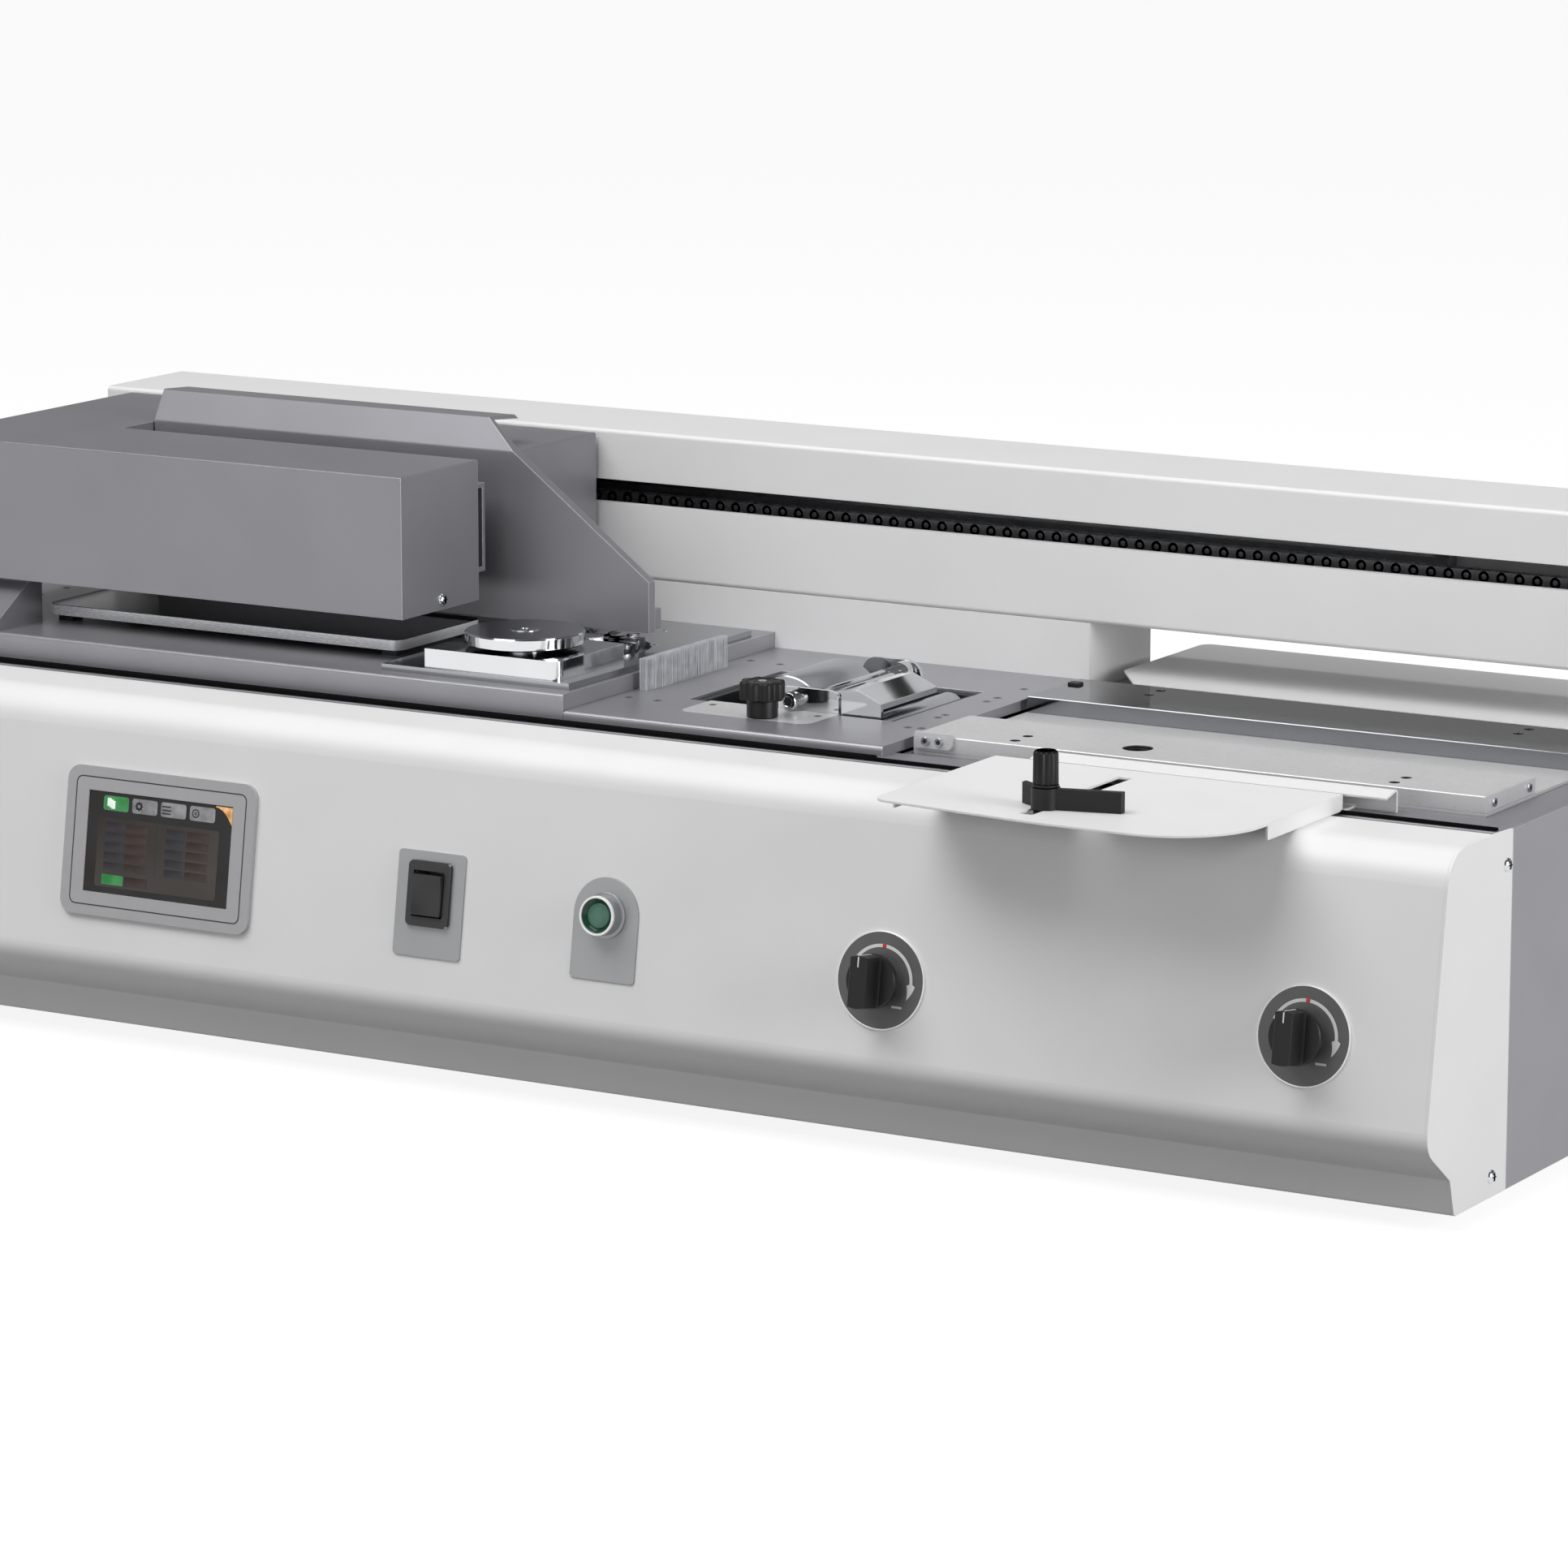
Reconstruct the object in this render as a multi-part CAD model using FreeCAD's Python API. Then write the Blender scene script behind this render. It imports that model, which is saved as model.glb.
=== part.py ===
"""Desktop perfect binding machine, built as its separate pieces.

Frame: origin on the floor under the middle of the machine, +X to the right along the
carriage travel, +Y away from the operator, +Z up. Millimetres.
The spine of a clamped book runs along X at book_y and passes, from left to right, the
milling station, the brush, the glue station and the cover station.
"""
import FreeCAD
import Part
import math
import os

V = FreeCAD.Vector
os.makedirs("parts", exist_ok=True)

# Overall sizes
length = 1250.0
depth = 600.0
foot_height = 12.0
rim_height = 226.0
front_overhang = 167.5
rear_overhang = 51.0
pan_wall = 2.0
end_wall = 2.0
touch_gap = 0.3
sheet_wall = 1.5

# Front fascia: a bent sheet that leans back
fascia_setback = 11.5
fascia_rise = 1.0
fascia_top_depth = 66.0
fascia_nose_radius = 24.5
panel_tilt = 8.6
panel_foot_height = 48.9
fascia_chin_radius = 18.0
fascia_chin_height = 23.8
fascia_chin_depth = 35.0
fascia_kick_depth = 6.9
fascia_top_return = 15.0
end_split = 12.2

# Decks on the base rim
ledge = 12.9
front_rim_width = 30.0
rear_shelf_width = 105.0
deck_bend = 2.5
mill_deck_rise = 18.0
glue_deck_rise = 7.0
glue_deck_length = 241.4
deck_gap = 0.5
glue_nip_gap = 5.5

# Left guard hood
hood_length = 99.5
hood_front_rise = 23.0
hood_slant_depth = 38.0
hood_slant_rise = 24.0
hood_depth = 54.0

# Beam with the carriage rail and the chain
beam_depth = 95.0
beam_rise = 46.0
beam_height = 103.7
beam_wall = 2.0
beam_bend = 3.0
slot_rise = 52.2
slot_height = 16.3
slot_lip = 6.0
plinth_gap = 1.0
plinth_depth = 89.0
plinth_recess = 0.8
rail_back_height = 44.0
rail_back_depth = 12.0
rail_height = 15.0
rail_depth = 15.0
rail_end_space = 210.0
rail_end_gap = 10.0
rail_groove = 2.0
chain_pitch = 12.7
sprocket_teeth = 10
sprocket_thickness = 4.4
sprocket_inset = 50.0
idler_inset = 45.0
idler_arm_width = 26.0
idler_arm_gap = 4.0
chain_plate = 1.3
chain_height = 8.5
chain_setback = 36.0
chain_drop = 6.4
roller_length = 5.0
axle_radius = 5.0
chain_motor_radius = 26.0
chain_motor_length = 48.0
motor_sides = 24

# Carriage that clamps the book
carriage_inset = 24.0
carriage_length = 400.0
carriage_rise = 51.0
carriage_height = 96.5
carriage_front = 120.5
carriage_beam_gap = 4.0
slit_length = 297.5
slit_front_offset = 26.5
carriage_plate = 8.0
carriage_plate_lift = 2.0
sill_inset = 12.0
tongue_thickness = 9.0
tongue_length_x = 120.0
tongue_depth = 31.0
tongue_gap = 2.5
chain_lug = 16.0
truck_height = 40.0
truck_depth = 26.0
truck_wall = 14.0
travel_end_gap = 12.6

# Book jaws
jaw_face_offset = 10.5
jaw_thickness = 8.0
jaw_drop = 19.0
jaw_lip_rise = 21.0
jaw_lip_lean = 12.0
jaw_flange = 29.0
jaw_flange_thickness = 2.5
jaw_flange_fall = 2.0
jaw_right_reach = 113.4
jaw_chamfer_length = 136.4
jaw_chamfer_height = 102.2
jaw_foot_depth = 16.0
jaw_foot_height = 14.0
front_jaw_gap = 15.0
front_jaw_web = 3.0
front_jaw_height = 61.0
front_jaw_depth = 39.0
jaw_sleeve_length = 52.0
front_jaw_drop = 16.5
front_jaw_inset = 9.0
jaw_open_travel = 20.0
jaw_close_travel = 14.0
screw_radius = 6.0
guide_bar_half = 6.0
running_gap = 0.08
cut_gap = 1.0
nut_wall = 5.5
guide_rod_spacing = 220.0
clamp_motor_width = 44.0

# Level plate that sets the spine height
level_hood_gap = 2.0
level_mill_gap = 15.1
level_plate_depth = 104.0
level_plate_thickness = 7.5
level_plate_lift = 4.5
level_plate_front = 88.5
level_plate_corner = 8.0
level_hole_inset = 12.0

# Milling station
mill_plate_length = 148.5
mill_plate_back = 26.2
mill_plate_thickness = 4.6
mill_plate_front = 13.2
mill_plate_inset = 3.5
mill_block_length = 105.1
mill_block_depth = 83.0
mill_block_height = 12.9
mill_block_front = 2.7
mill_block_inset = 10.5
mill_block_corner = 7.0
disc_radius = 40.5
disc_thickness = 8.5
disc_gap = 2.4
disc_front = 42.7
disc_cap_radius = 9.75
cutter_radius = 38.0
cutter_offset = 5.5
cutter_thickness = 7.5
cutter_lift = 1.8
cutter_well_gap = 4.0
cutter_teeth = 12
cutter_tooth = 4.0
spindle_radius = 7.0
spindle_reach = 26.0
spindle_box_height = 32.0
spindle_box_margin = 12.0
mill_motor_radius = 42.0
mill_motor_height = 92.0

# Spine brush
brush_inset = 7.5
brush_offset = 5.0
brush_length = 106.4
brush_width = 6.0
brush_height = 22.0
brush_root = 5.0
brush_slot_gap = 1.0
brush_holder_height = 14.0
brush_holder_wall = 2.3

# Glue station
glue_open_left = 49.0
glue_open_length = 157.0
glue_open_depth = 122.0
glue_open_offset = 6.5
insert_left = 15.0
insert_length = 99.0
insert_depth = 39.0
insert_corner = 9.0
insert_gap = 0.3
tank_gap = 4.0
tank_wall = 3.0
tank_depth = 88.0
tank_flange = 3.0
tank_flange_width = 14.0
big_roller_radius = 30.0
big_roller_left = 62.0
big_roller_proud = 18.0
big_roller_length = 76.0
big_roller_offset = 12.5
small_roller_radius = 12.0
small_roller_right = 20.0
small_roller_length = 100.0
roller_shaft_radius = 5.0
gearbox_shelf_gap = 18.0
gearbox_height = 62.0
bracket_thickness = 3.0
bracket_left = 67.0
bracket_length = 46.0
bracket_height = 17.0
bracket_corner = 6.0
end_plate_height = 20.0
end_plate_corner = 12.0
spreader_rod_radius = 2.6
spreader_rod_spacing = 11.0
spreader_rod_drop = 5.5
collar_radius = 8.0
collar_length = 9.0
boss_inset = 12.0
boss_radius = 4.4
boss_reach = 8.0
glue_cover_left = 115.0
glue_cover_length = 30.0
glue_cover_depth = 75.0
glue_cover_height = 17.5
glue_cover_ridge = 12.0
glue_cover_ridge_rise = 2.0
glue_cover_fall = 8.0
glue_cover_lip = 4.0
knob_left = 59.5
knob_front = 10.0
knob_hub_radius = 9.7
knob_head_radius = 15.3
knob_lobe_dip = 2.6
knob_lobes = 8
knob_hub_height = 11.0
knob_head_height = 13.0

# Cover station
nip_inset = 33.5
nip_length = 402.5
nip_front_margin = 31.6
nip_rear_margin = 15.8
nip_plate_thickness = 10.7
nip_opening = 79.0
nip_slide_gap = 0.2
nip_table_thickness = 11.8
nip_table_gap = 2.0
nip_rest_gap = 2.0
nip_lift = 20.0
nip_edge = 0.6
nip_hole_radius = 3.6
nip_hole_depth = 7.0
nip_hole_front = 12.5
nip_hole_pitch = 17.0
nip_hole_inset = 67.5
nip_big_hole_radius = 10.0
nip_big_hole_offset = 79.5
nip_bracket_left = 2.3
nip_bracket_length = 27.4
nip_bracket_height = 10.4
nip_bracket_rise = 2.3
lift_column_radius = 10.0
lift_tube_wall = 5.0
lift_tube_length = 100.0
lift_column_spacing = 240.0
lift_rod_radius = 7.0
lift_body_radius = 20.0
lift_body_height = 110.0
column_foot_height = 8.0
column_foot_margin = 30.0
column_foot_depth = 80.0

# Cover trays and the side guide
tray_left = 82.5
tray_length = 243.0
tray_flange = 10.5
tray_front_radius = 60.0
tray_front_lean = 13.0
tray_corner = 12.0
tray_slot_width = 10.0
tray_slot_length = 131.0
tray_slot_front = 18.5
tray_slot_left = 104.0
tray_rim_lap = 3.5
tray_tab_width = 9.0
tray_tab_length = 28.0
left_flange_front = 40.0
right_flange_front = 68.0
ramp_left = 106.0
ramp_length = 248.0
ramp_rise = 3.7
ramp_gap = 1.5
ramp_radius = 3.0
ramp_depth = 16.8
rear_tray_inset = 40.0
rear_tray_left = 12.0
rear_tray_rise = 11.0
rear_tray_chamfer_length = 28.0
rear_tray_chamfer_depth = 40.0
rear_tray_corner = 8.0
rear_tray_leg = 20.0
guide_front = 40.0
guide_offset = 2.5
guide_bar_length = 48.0
guide_bar_thickness = 5.0
guide_bar_height = 13.0
guide_bar_sweep = 12.0
guide_heel = 20.0
guide_boss_radius = 9.0
guide_nut_radius = 6.0
guide_nut_height = 2.6
guide_knob_radius = 8.2
guide_knob_height = 22.5
guide_knob_flutes = 14
guide_flute_depth = 0.9
guide_forward_travel = 18.0
guide_back_travel = 96.0

# Control panel, placed along X from the right end and along the slope from the floor line
display_right = 935.45
display_slope = 133.65
display_plate_length = 153.6
display_plate_width = 100.1
display_plate_corner = 10.0
display_plate_thickness = 3.0
display_length = 117.6
display_width = 68.1
display_depth = 24.0
display_recess = 0.8
display_body_margin = 5.0
rocker_right = 718.4
rocker_slope = 120.0
rocker_plate_length = 52.0
rocker_plate_width = 69.2
rocker_plate_corner = 3.0
plate_thickness = 1.2
rocker_frame_length = 31.6
rocker_frame_width = 41.7
rocker_frame_rise = 4.0
rocker_frame_drop = 6.9
rocker_length = 24.0
rocker_width = 33.0
rocker_depth = 16.0
rocker_wall = 4.0
rocker_tilt = 12.0
rocker_nose = 3.2
rocker_sink = 6.0
button_right = 583.65
button_slope = 119.0
button_plate_length = 48.7
button_plate_width = 67.1
button_ring_radius = 14.5
button_ring_wall = 2.6
button_ring_height = 13.0
button_radius = 10.9
button_recess = 2.2
button_offset = 9.0
button_travel = 4.0
button_body_radius = 11.0
button_body_depth = 32.0
button_stack = 10.5
dial_right_one = 379.6
dial_right_two = 85.9
dial_slope = 109.6
dial_radius = 31.0
dial_knob_radius = 19.0
dial_knob_rise = 8.0
dial_grip_width = 10.0
dial_grip_lean = 1.2
dial_grip_height = 27.0
dial_pot_radius = 12.0
dial_pot_depth = 20.0

# Back panel
gland_left = 65.0
gland_height = 40.0
gland_radius = 9.0
gland_reach = 16.0
gland_neck = 6.0
gland_step = 2.0
gland_bore = 3.5
foot_radius = 16.0
foot_sides = 12
foot_inset_x = 70.0
foot_inset_y = 34.0


# Places that follow from the sizes
left = -length / 2
right = length / 2
floor_z = foot_height
rim_z = floor_z + rim_height
pan_front = -depth / 2 + front_overhang
pan_back = depth / 2 - rear_overhang
inner_left = left + end_wall
inner_right = right - end_wall
deck_front = pan_front + ledge
beam_front = pan_back - beam_depth
plinth_front = beam_front + plinth_recess
table_y0 = deck_front + nip_front_margin
table_y1 = plinth_front - nip_rear_margin
nip_plate_depth = (table_y1 - table_y0 - nip_opening) / 2
book_y = table_y0 + nip_plate_depth + nip_opening / 2
beam_z = rim_z + beam_rise
beam_top = beam_z + beam_height
slot_z = beam_z + slot_rise
slot_mid = slot_z + slot_height / 2
nip_right = right - nip_inset
nip_left = nip_right - nip_length
glue_right = nip_left - glue_nip_gap
glue_left = glue_right - glue_deck_length
mill_right = glue_left - deck_gap
mill_top = rim_z + mill_deck_rise
glue_top = rim_z + glue_deck_rise
carriage_left = left + carriage_inset
carriage_right = carriage_left + carriage_length
carriage_mid = carriage_right - slit_length / 2
carriage_y0 = book_y - carriage_front
carriage_y1 = beam_front - carriage_beam_gap
carriage_travel = right - travel_end_gap - carriage_right - jaw_right_reach
carriage_z = rim_z + carriage_rise
carriage_top = carriage_z + carriage_height
jaw_face = book_y + jaw_face_offset
slit_left = carriage_right - slit_length
slit_front = book_y - slit_front_offset


def box(x0, x1, y0, y1, z0, z1):
    """Block between two corners."""
    return Part.makeBox(x1 - x0, y1 - y0, z1 - z0, V(x0, y0, z0))


def rod(x, y, z, radius, reach, axis="z"):
    """Cylinder from a start point along an axis."""
    way = {"x": V(1, 0, 0), "y": V(0, 1, 0), "z": V(0, 0, 1)}[axis]
    return Part.makeCylinder(radius, reach, V(x, y, z), way)


def prism(x, y, z, radius, reach, sides, axis="z"):
    """Bar with a regular cross-section, its corners on the given radius."""
    return fluted(x, y, z, radius, 0.0, 1, sides, reach, axis)


def fluted(x, y, z, radius, dip, lobes, steps, reach, axis="z"):
    """Bar whose outline dips by a cosine between its lobes, drawn in straight steps."""
    points = []
    for i in range(lobes * steps):
        angle = 2 * math.pi * i / (lobes * steps)
        far = radius - dip * (1 - math.cos(lobes * angle)) / 2
        u = far * math.cos(angle)
        v = far * math.sin(angle)
        flat = {"x": V(x, y + u, z + v), "y": V(x + v, y, z + u), "z": V(x + u, y + v, z)}
        points.append(flat[axis])
    way = {"x": V(reach, 0, 0), "y": V(0, reach, 0), "z": V(0, 0, reach)}[axis]
    return Part.Face(Part.makePolygon(points + points[:1])).extrude(way)


def fuse(first, *others):
    """One clean solid from pieces that meet."""
    return first.fuse(list(others)).removeSplitter()


def group(shapes):
    """Separate solids kept together in one node."""
    return Part.makeCompound(shapes)


def path_edges(points, radii):
    """Edges of an open path whose inner corners are rounded."""
    edges = []
    start = points[0]
    for i in range(1, len(points) - 1):
        corner = points[i]
        arrive = (corner - points[i - 1]).normalize()
        leave = (points[i + 1] - corner).normalize()
        turn = arrive.getAngle(leave)
        radius = radii[i - 1]
        if radius < 1e-6 or turn < 1e-6:
            edges.append(Part.makeLine(start, corner))
            start = corner
            continue
        reach = radius * math.tan(turn / 2)
        enter = corner - arrive * reach
        leave_at = corner + leave * reach
        bulge = radius / math.cos(turn / 2) - radius
        middle = corner + (leave - arrive).normalize() * bulge
        if (enter - start).Length > 1e-6:
            edges.append(Part.makeLine(start, enter))
        edges.append(Part.Arc(enter, middle, leave_at).toShape())
        start = leave_at
    edges.append(Part.makeLine(start, points[-1]))
    return edges


def offset_points(points, wall):
    """Flat path moved sideways by a wall, to the left of its travel."""
    moved = []
    count = len(points)
    for i in range(count):
        u, v = points[i]
        normals = []
        if i > 0:
            du = u - points[i - 1][0]
            dv = v - points[i - 1][1]
            span = math.hypot(du, dv)
            normals.append((-dv / span, du / span))
        if i < count - 1:
            du = points[i + 1][0] - u
            dv = points[i + 1][1] - v
            span = math.hypot(du, dv)
            normals.append((-dv / span, du / span))
        if len(normals) == 1:
            moved.append((u + normals[0][0] * wall, v + normals[0][1] * wall))
            continue
        (au, av), (bu, bv) = normals
        share = wall / (1.0 + au * bu + av * bv)
        moved.append((u + (au + bu) * share, v + (av + bv) * share))
    return moved


def turn_signs(points):
    """+1 where a flat path turns left at an inner corner, -1 where it turns right."""
    signs = []
    for i in range(1, len(points) - 1):
        au = points[i][0] - points[i - 1][0]
        av = points[i][1] - points[i - 1][1]
        bu = points[i + 1][0] - points[i][0]
        bv = points[i + 1][1] - points[i][1]
        signs.append(1 if au * bv - av * bu > 0 else -1)
    return signs


def bent_sheet(points, radii, wall, lift, sweep):
    """Folded sheet: a flat path with outer radii, thickened and swept."""
    inner = offset_points(points, wall)
    inner_radii = []
    for sign, radius in zip(turn_signs(points), radii):
        inner_radii.append(max(radius - sign * wall, 0.0) if radius else 0.0)
    outside = [lift(u, v) for u, v in points]
    inside = [lift(u, v) for u, v in inner]
    edges = path_edges(outside, radii)
    edges.append(Part.makeLine(outside[-1], inside[-1]))
    edges += path_edges(inside[::-1], inner_radii[::-1])
    edges.append(Part.makeLine(inside[0], outside[0]))
    return Part.Face(Part.Wire(Part.__sortEdges__(edges))).extrude(sweep)


def outline(points, radii, lift, sweep):
    """Closed flat outline with rounded corners, swept into a solid."""
    corners = [lift(u, v) for u, v in points]
    closing = corners[0] - corners[-1]
    share = 0.5 + (radii[-1] - radii[0]) / (2 * closing.Length)
    seam = corners[-1] + closing * share
    ring = [seam] + corners + [seam]
    edges = path_edges(ring, radii)
    return Part.Face(Part.Wire(Part.__sortEdges__(edges))).extrude(sweep)


def rounded_plate(x0, x1, y0, y1, z0, z1, corner):
    """Flat plate with its four upright corners rounded."""
    points = [(x0, y0), (x1, y0), (x1, y1), (x0, y1)]
    return outline(points, [corner] * 4, lambda u, v: V(u, v, z0), V(0, 0, z1 - z0))


def lid(x0, x1, y0, y1, z0, z1, wall, bend):
    """Folded cover, open below, with its front top edge rounded."""
    outer = box(x0, x1, y0, y1, z0, z1)
    front = [e for e in outer.Edges
             if abs(e.CenterOfMass.z - z1) < 1e-6 and abs(e.CenterOfMass.y - y0) < 1e-6]
    outer = outer.makeFillet(bend, front)
    inner = box(x0 + wall, x1 - wall, y0 + wall, y1 - wall, z0 - 1, z1 - wall)
    return outer.cut(inner)


def save(name, shape):
    """Write one node and say what it holds."""
    for solid in shape.Solids:
        if not solid.isValid():
            print("not valid:", name)
    shape.exportStep("parts/" + name + ".step")
    print(name, len(shape.Solids), "solids")


# The tilted panel: local x runs along the machine, y up the slope, z out of the face
tilt = math.radians(panel_tilt)
nose_y = pan_front - fascia_setback - fascia_top_depth
fascia_top = rim_z + fascia_rise
panel_line_y = nose_y - (fascia_top - floor_z) * math.tan(tilt)
panel_place = FreeCAD.Placement(
    V(0, panel_line_y, floor_z), FreeCAD.Rotation(V(1, 0, 0), 90 - panel_tilt)
)


def on_panel(shape):
    """Move a shape from the panel's own frame onto the fascia."""
    placed = shape.copy()
    placed.Placement = panel_place.multiply(placed.Placement)
    return placed


def panel_plate(x, s, plate_length, plate_width, thickness, corner, base=0.0):
    """Flat plate on the panel face, centred at x and s."""
    return rounded_plate(
        x - plate_length / 2, x + plate_length / 2,
        s - plate_width / 2, s + plate_width / 2, base, base + thickness, corner,
    )


def panel_block(x, s, block_length, block_width, z0, z1):
    """Sharp-edged block on the panel, centred at x and s."""
    half_x = block_length / 2
    half_s = block_width / 2
    return box(x - half_x, x + half_x, s - half_s, s + half_s, z0, z1)


display_x = right - display_right
rocker_x = right - rocker_right
button_x = right - button_right
button_s = button_slope + button_offset
rocker_s = rocker_slope + rocker_frame_drop
dial_x = [right - dial_right_one, right - dial_right_two]


def fascia_points():
    """Outer path of the fascia from its top rear fold to its bottom rear edge."""
    back = pan_front - fascia_setback
    foot_y = panel_line_y + panel_foot_height * math.tan(tilt)
    chin_y = foot_y + fascia_chin_depth
    kick_y = chin_y + fascia_kick_depth
    return [
        (back, fascia_top - fascia_top_return),
        (back, fascia_top),
        (nose_y, fascia_top),
        (foot_y, floor_z + panel_foot_height),
        (chin_y, floor_z + fascia_chin_height),
        (kick_y, floor_z),
        (pan_front, floor_z),
    ]


fascia_radii = [deck_bend, fascia_nose_radius, fascia_chin_radius, deck_bend, deck_bend]


def front_fascia():
    """White bent front with the cut-outs for its controls."""
    sheet = bent_sheet(
        fascia_points(), fascia_radii, sheet_wall, lambda u, v: V(inner_left, u, v),
        V(inner_right - inner_left, 0, 0),
    )
    cuts = []
    for x, s, cut_length, cut_width in (
        (display_x, display_slope, display_length + 2 * display_body_margin,
         display_width + 2 * display_body_margin),
        (rocker_x, rocker_s, rocker_length + rocker_wall, rocker_width + rocker_wall),
        (button_x, button_s, 2 * button_body_radius, 2 * button_body_radius),
    ):
        half_x = cut_length / 2 + cut_gap
        half_s = cut_width / 2 + cut_gap
        cuts.append(box(x - half_x, x + half_x, s - half_s, s + half_s, -4 * sheet_wall,
                        4 * sheet_wall))
    return sheet.cut([on_panel(c) for c in cuts])


def fascia_end_plates():
    """White plates that close both ends of the fascia."""
    points = fascia_points()[1:-1]
    points += [(pan_front + end_split, floor_z), (pan_front + end_split, rim_z)]
    radii = [0] + fascia_radii[1:] + [0, 0]
    sweep = V(end_wall, 0, 0)
    return group([
        outline(points, radii, lambda u, v: V(left, u, v), sweep),
        outline(points, radii, lambda u, v: V(inner_right, u, v), sweep),
    ])


def base_pan():
    """Folded front with rim and floor, and the back wall with its shelf."""
    points = [
        (pan_front + front_rim_width, rim_z),
        (pan_front, rim_z),
        (pan_front, floor_z),
        (pan_back - pan_wall, floor_z),
    ]
    front = bent_sheet(
        points, [deck_bend, deck_bend], pan_wall, lambda u, v: V(inner_left, u, v),
        V(inner_right - inner_left, 0, 0),
    )
    wall = box(inner_left, inner_right, pan_back - pan_wall, pan_back, floor_z, rim_z - pan_wall)
    gland_hole = rod(left + gland_left, pan_back - 2 * pan_wall, floor_z + gland_height,
                     gland_radius - gland_step, 3 * pan_wall, "y")
    shelf = box(inner_left, inner_right, pan_back - rear_shelf_width, pan_back, rim_z - pan_wall,
                rim_z)
    return group([front, wall.cut(gland_hole), shelf])


def side_panels():
    """Grey panels behind the white end plates."""
    y0 = pan_front + end_split + deck_gap
    return group([box(x0, x0 + end_wall, y0, pan_back, floor_z, rim_z)
                  for x0 in (left, inner_right)])


def rubber_feet():
    """Six round feet under the base."""
    feet = []
    for x in (left + foot_inset_x, 0.0, right - foot_inset_x):
        for y in (pan_front + foot_inset_y, pan_back - foot_inset_y):
            feet.append(prism(x, y, 0, foot_radius, foot_height, foot_sides))
    return group(feet)


disc_x = mill_right - mill_plate_inset - mill_block_inset - mill_block_length / 2
disc_y = deck_front + mill_plate_front + mill_block_front + disc_front
cutter_y = book_y - cutter_offset
cutter_well = cutter_radius + cutter_well_gap


def milling_deck():
    """Raised deck from the left end to the brush."""
    deck = lid(inner_left, mill_right, deck_front, plinth_front, rim_z, mill_top, pan_wall, deck_bend)
    return deck.cut(rod(disc_x, cutter_y, mill_top - 2 * pan_wall, spindle_radius + 1, 3 * pan_wall))


brush_x = glue_left + brush_inset
brush_y0 = book_y - brush_offset - brush_length / 2
glue_open_x0 = glue_left + glue_open_left
glue_open_x1 = glue_open_x0 + glue_open_length
glue_open_y0 = book_y - glue_open_offset - glue_open_depth / 2
glue_open_y1 = glue_open_y0 + glue_open_depth
insert_x0 = glue_open_x0 + insert_left
insert_x1 = insert_x0 + insert_length
insert_y0 = glue_open_y0 - insert_depth


def glue_deck():
    """Lower deck with the brush slot and the opening over the glue tank."""
    deck = lid(glue_left, glue_right, deck_front, plinth_front, rim_z, glue_top, pan_wall, deck_bend)
    z0 = glue_top - pan_wall - 1
    z1 = glue_top + 1
    slot = box(brush_x - brush_width / 2 - brush_slot_gap, brush_x + brush_width / 2 + brush_slot_gap,
               brush_y0 - brush_slot_gap, brush_y0 + brush_length + brush_slot_gap, z0, z1)
    opening = box(glue_open_x0, glue_open_x1, glue_open_y0, glue_open_y1, z0, z1)
    insert = rounded_plate(insert_x0, insert_x1, insert_y0, glue_open_y0 + insert_corner * 2, z0, z1,
                           insert_corner)
    return deck.cut([slot, opening, insert])


def left_hood():
    """Guard at the left end, slanted towards the operator."""
    y0 = deck_front + touch_gap
    z0 = mill_top
    z1 = mill_top + hood_front_rise - mill_deck_rise
    z2 = z1 + hood_slant_rise
    y1 = y0 + hood_depth
    points = [(y0, z0), (y0, z1), (y0 + hood_slant_depth, z2), (y1, z2), (y1, z0)]
    x0 = inner_left
    x1 = x0 + hood_length

    def lift(u, v):
        return V(x0, u, v)

    shell = bent_sheet(points[::-1], [deck_bend] * 3, pan_wall, lift, V(hood_length, 0, 0))
    cheek = outline(points, [0, deck_bend, deck_bend, deck_bend, 0], lift, V(pan_wall, 0, 0))
    far_cheek = cheek.copy()
    far_cheek.translate(V(hood_length - pan_wall, 0, 0))
    hood = fuse(shell, cheek, far_cheek)
    return hood.cut(box(x1, x1 + 1, y0, y1, z0, z2))


def beam_plinth():
    """Long hollow foot that carries the left part of the beam."""
    x0 = inner_left
    x1 = nip_left - plinth_gap
    shell = box(x0, x1, plinth_front, plinth_front + plinth_depth, rim_z, beam_z)
    inner = box(x0 + pan_wall, x1 - pan_wall, plinth_front + pan_wall,
                plinth_front + plinth_depth - pan_wall, rim_z - 1, beam_z - pan_wall)
    return shell.cut(inner)


def beam_cover():
    """White hollow beam with the long slot in its front."""
    slot_top = slot_z + slot_height
    points = [
        (beam_front + slot_lip, slot_top),
        (beam_front, slot_top),
        (beam_front, beam_top),
        (pan_back, beam_top),
        (pan_back, beam_z),
        (beam_front, beam_z),
        (beam_front, slot_z),
        (beam_front + slot_lip, slot_z),
    ]
    radii = [0, beam_bend, beam_bend, beam_bend, beam_bend, 0]
    return bent_sheet(points[::-1], radii, beam_wall, lambda u, v: V(inner_left, u, v),
                      V(inner_right - inner_left, 0, 0))


def beam_end_caps():
    """Plates that close the beam, one at each end."""
    caps = []
    points = [(beam_front, beam_z), (pan_back, beam_z), (pan_back, beam_top), (beam_front, beam_top)]
    for x in (left, inner_right):
        caps.append(outline(points, [beam_bend] * 4, lambda u, v, x=x: V(x, u, v), V(end_wall, 0, 0)))
    return group(caps)


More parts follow.
